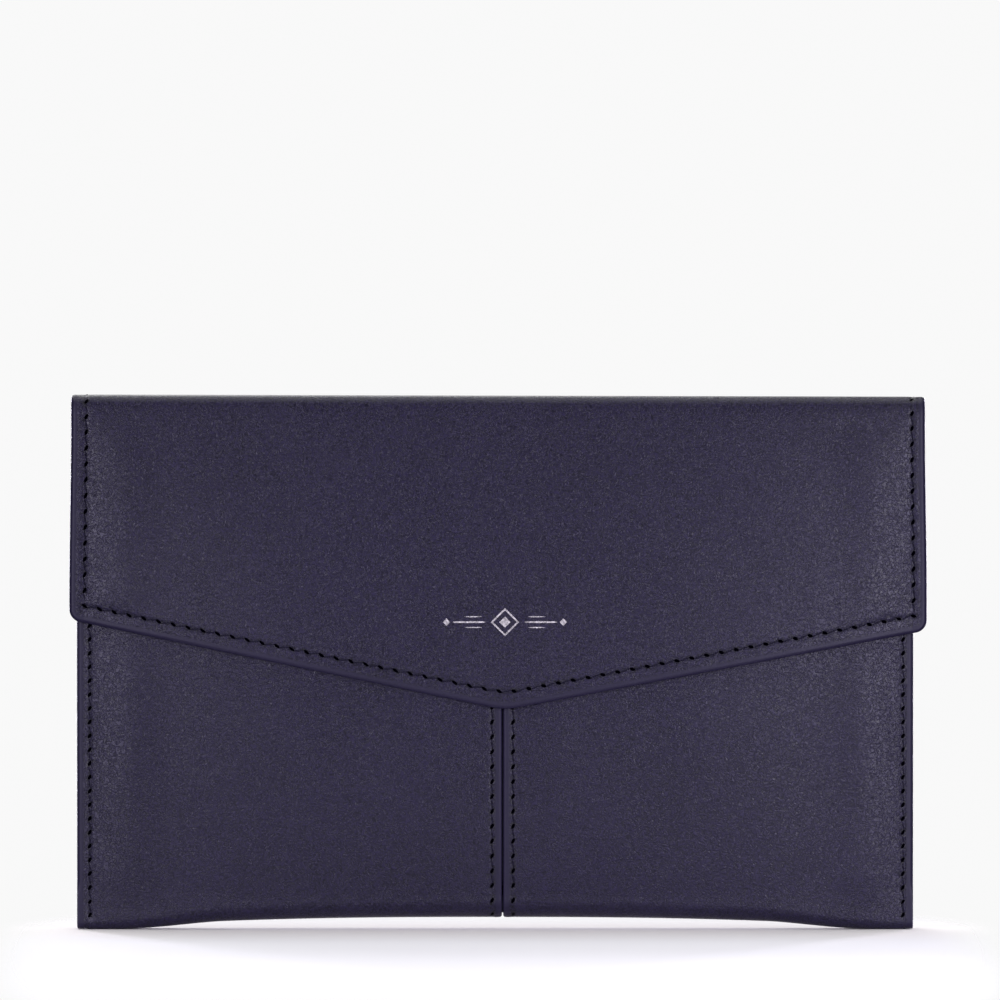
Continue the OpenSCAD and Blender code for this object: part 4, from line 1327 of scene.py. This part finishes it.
def foil_mark():
    """A generic ornament: an open lozenge round a small one, with fine bars and beads at its sides."""
    parts = [foil_ring(lozenge(3.3), lozenge(2.75)), foil_ring(lozenge(1.3), lozenge(0.12))]
    for side in (-1, 1):
        parts.append(foil_bar(side * 4.5, side * 12.2, 0, 0.2))
        for level in (-1.25, 1.25):
            parts.append(foil_bar(side * 5.4, side * 9.4, level, 0.13))
        parts.append(foil_ring(lozenge(0.85, side * 13.6), lozenge(0.1, side * 13.6)))
    piece = joined("foil_ornament", parts, FOIL)
    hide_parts("foil_mark")
    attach(piece, "flap")


# ---------------------------------------------------------------- carried-over nodes, stage, lights, camera
def finish_hidden_nodes():
    """The nodes inside the walls keep their shape and get a finish."""
    looks = {"board": BOARD, "lining": LINING, "tape": TAPE, "magnet": MAGNET}
    for name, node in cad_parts.items():
        if node.hide_render:
            continue
        mesh = node.data
        places = np.zeros(len(mesh.vertices) * 3, np.float32)
        mesh.vertices.foreach_get("co", places)
        mesh.attributes.new("rest", "FLOAT_VECTOR", "POINT").data.foreach_set("vector", places)
        mesh.materials.clear()
        mesh.materials.append(next((look for key, look in looks.items() if key in name), INNER))


FLOOR_SIZE = 1400.0
FLOOR_FADE = (120.0, 420.0)
FADE_FROM_X, FADE_BESIDE, FADE_BEHIND = 88.0, 14.0, 5.0
# The first floor colour is a painted warm shadow tint for the floor close to the wallet.
FLOOR_SHADOW_TINT, FLOOR_FAR, FLOOR_TURN = (0.91, 0.885, 0.85), (0.85, 0.85, 0.85), (4.0, 70.0)
BACKDROP, AMBIENT = 0.945, 0.08
SIDE_TINT = (0.85, 0.81, 1.0)
VIEW_WIDTH, SENSOR_WIDTH = 232.8, 36.0
CAMERA_AWAY, CAMERA_RISE = 3000.0, 38.0
LOOK_X, LOOK_Z = 0.45, 100.3


def floor_finish():
    """Pale matt paper that melts into the backdrop away from the wallet. Close to the wallet it is painted
    warm, the tint of the wallet's shadow: painted shade.
    """
    finish = Finish("floor_paper")
    speck = finish.noise(30.0, 2.0)
    x, y, _ = finish.parts(finish.where)
    # Painted shade: a warm colour close to the wallet where its shadow falls, turning to plain paper further
    # out.
    finish.colour(FLOOR_SHADOW_TINT, FLOOR_FAR, y.math("ABSOLUTE").step(*FLOOR_TURN) + speck * 0.01)
    finish.rough(speck * 0.05 + 0.85)
    finish.set(Specular_IOR_Level=0.05)
    beside = (x.math("ABSOLUTE") - FADE_FROM_X).math("MAXIMUM", 0.0) * FADE_BESIDE
    behind = y.math("MAXIMUM", 0.0) * FADE_BEHIND
    away = (beside * beside + behind * behind + y * y).math("SQRT")
    finish.link(away.step(*FLOOR_FADE[::-1]), "Alpha")
    return finish.material


def stage():
    half = FLOOR_SIZE / 2
    corners = np.array([[-half, -half, 0], [half, -half, 0], [half, half, 0], [-half, half, 0.0]])
    make_piece("floor", corners, [[0, 1, 2, 3]], floor_finish())
    world = bpy.data.worlds.new("studio")
    bpy.context.scene.world = world
    world.use_nodes = True
    tree = world.node_tree
    sky = tree.nodes["Background"]
    sky.inputs["Color"].default_value = (1, 1, 1, 1)
    seen = Wire(tree, tree.nodes.new("ShaderNodeLightPath").outputs["Is Camera Ray"])
    level = seen * (BACKDROP - AMBIENT) + AMBIENT
    tree.links.new(level.socket, sky.inputs["Strength"])


def aimed(name, data, place, target):
    """An object in mm whose -Z axis points at the target."""
    thing = bpy.data.objects.new(name, data)
    bpy.context.scene.collection.objects.link(thing)
    thing.location = Vector(place) * MM
    thing.rotation_euler = (Vector(target) * MM - thing.location).to_track_quat("-Z", "Y").to_euler()
    return thing


def light(name, place, size, power, aim=(0, 0, 60), colour=(1, 1, 1)):
    data = bpy.data.lights.new(name, "AREA")
    data.shape = "RECTANGLE"
    data.size, data.size_y = size[0] * MM, size[1] * MM
    data.energy = power
    data.color = colour
    aimed(name, data, place, aim)


def lights():
    """Broad boxes above, and narrow ones low beside the front and the back for their soft gloss."""
    light("left_box", (-290, -520, 110), (70, 240), 1.8, colour=SIDE_TINT)
    light("right_box", (215, -400, 85), (50, 230), 1.38, (30, 0, 55), SIDE_TINT)
    light("back_left_box", (-290, 520, 110), (70, 240), 2.6, colour=SIDE_TINT)
    light("back_right_box", (290, 520, 110), (70, 240), 2.6, colour=SIDE_TINT)
    light("key_box", (0, -420, 760), (900, 420), 2.1, (0, 0, 40))
    light("top_box", (0, 120, 850), (900, 500), 3.9, (0, 0, 0))
    light("back_box", (-250, 760, 640), (700, 500), 4.2)


def camera():
    data = bpy.data.cameras.new("camera")
    data.sensor_width = SENSOR_WIDTH
    data.lens = SENSOR_WIDTH * (CAMERA_AWAY + FLAP_LOW[1]) / VIEW_WIDTH
    data.clip_end = 20.0
    eye = aimed("camera", data, (LOOK_X, -CAMERA_AWAY, LOOK_Z + CAMERA_RISE), (LOOK_X, 0, LOOK_Z))
    bpy.context.scene.camera = eye
    bpy.context.scene.view_settings.view_transform = "Standard"


flap_leather()
flap_inside()
back_leather()
top_inside()
for part_side in (-1, 1):
    front_leather(part_side)
    gusset(part_side)
front_inside()
card_panel()
for strip_number in range(1, STRIP_COUNT + 1):
    card_strip(strip_number)
divider()
zip_tape("zip_tape_upper")
zip_tape("zip_tape_lower")
zip_teeth("zip_teeth_upper", -1)
zip_teeth("zip_teeth_lower", 1)
zip_stops()
zip_header()
zip_slider()
pull_link()
pull_tab()
patch_piece()
flap_threads()
back_threads()
front_threads()
inner_threads()
foil_mark()
finish_hidden_nodes()
stage()
lights()
camera()
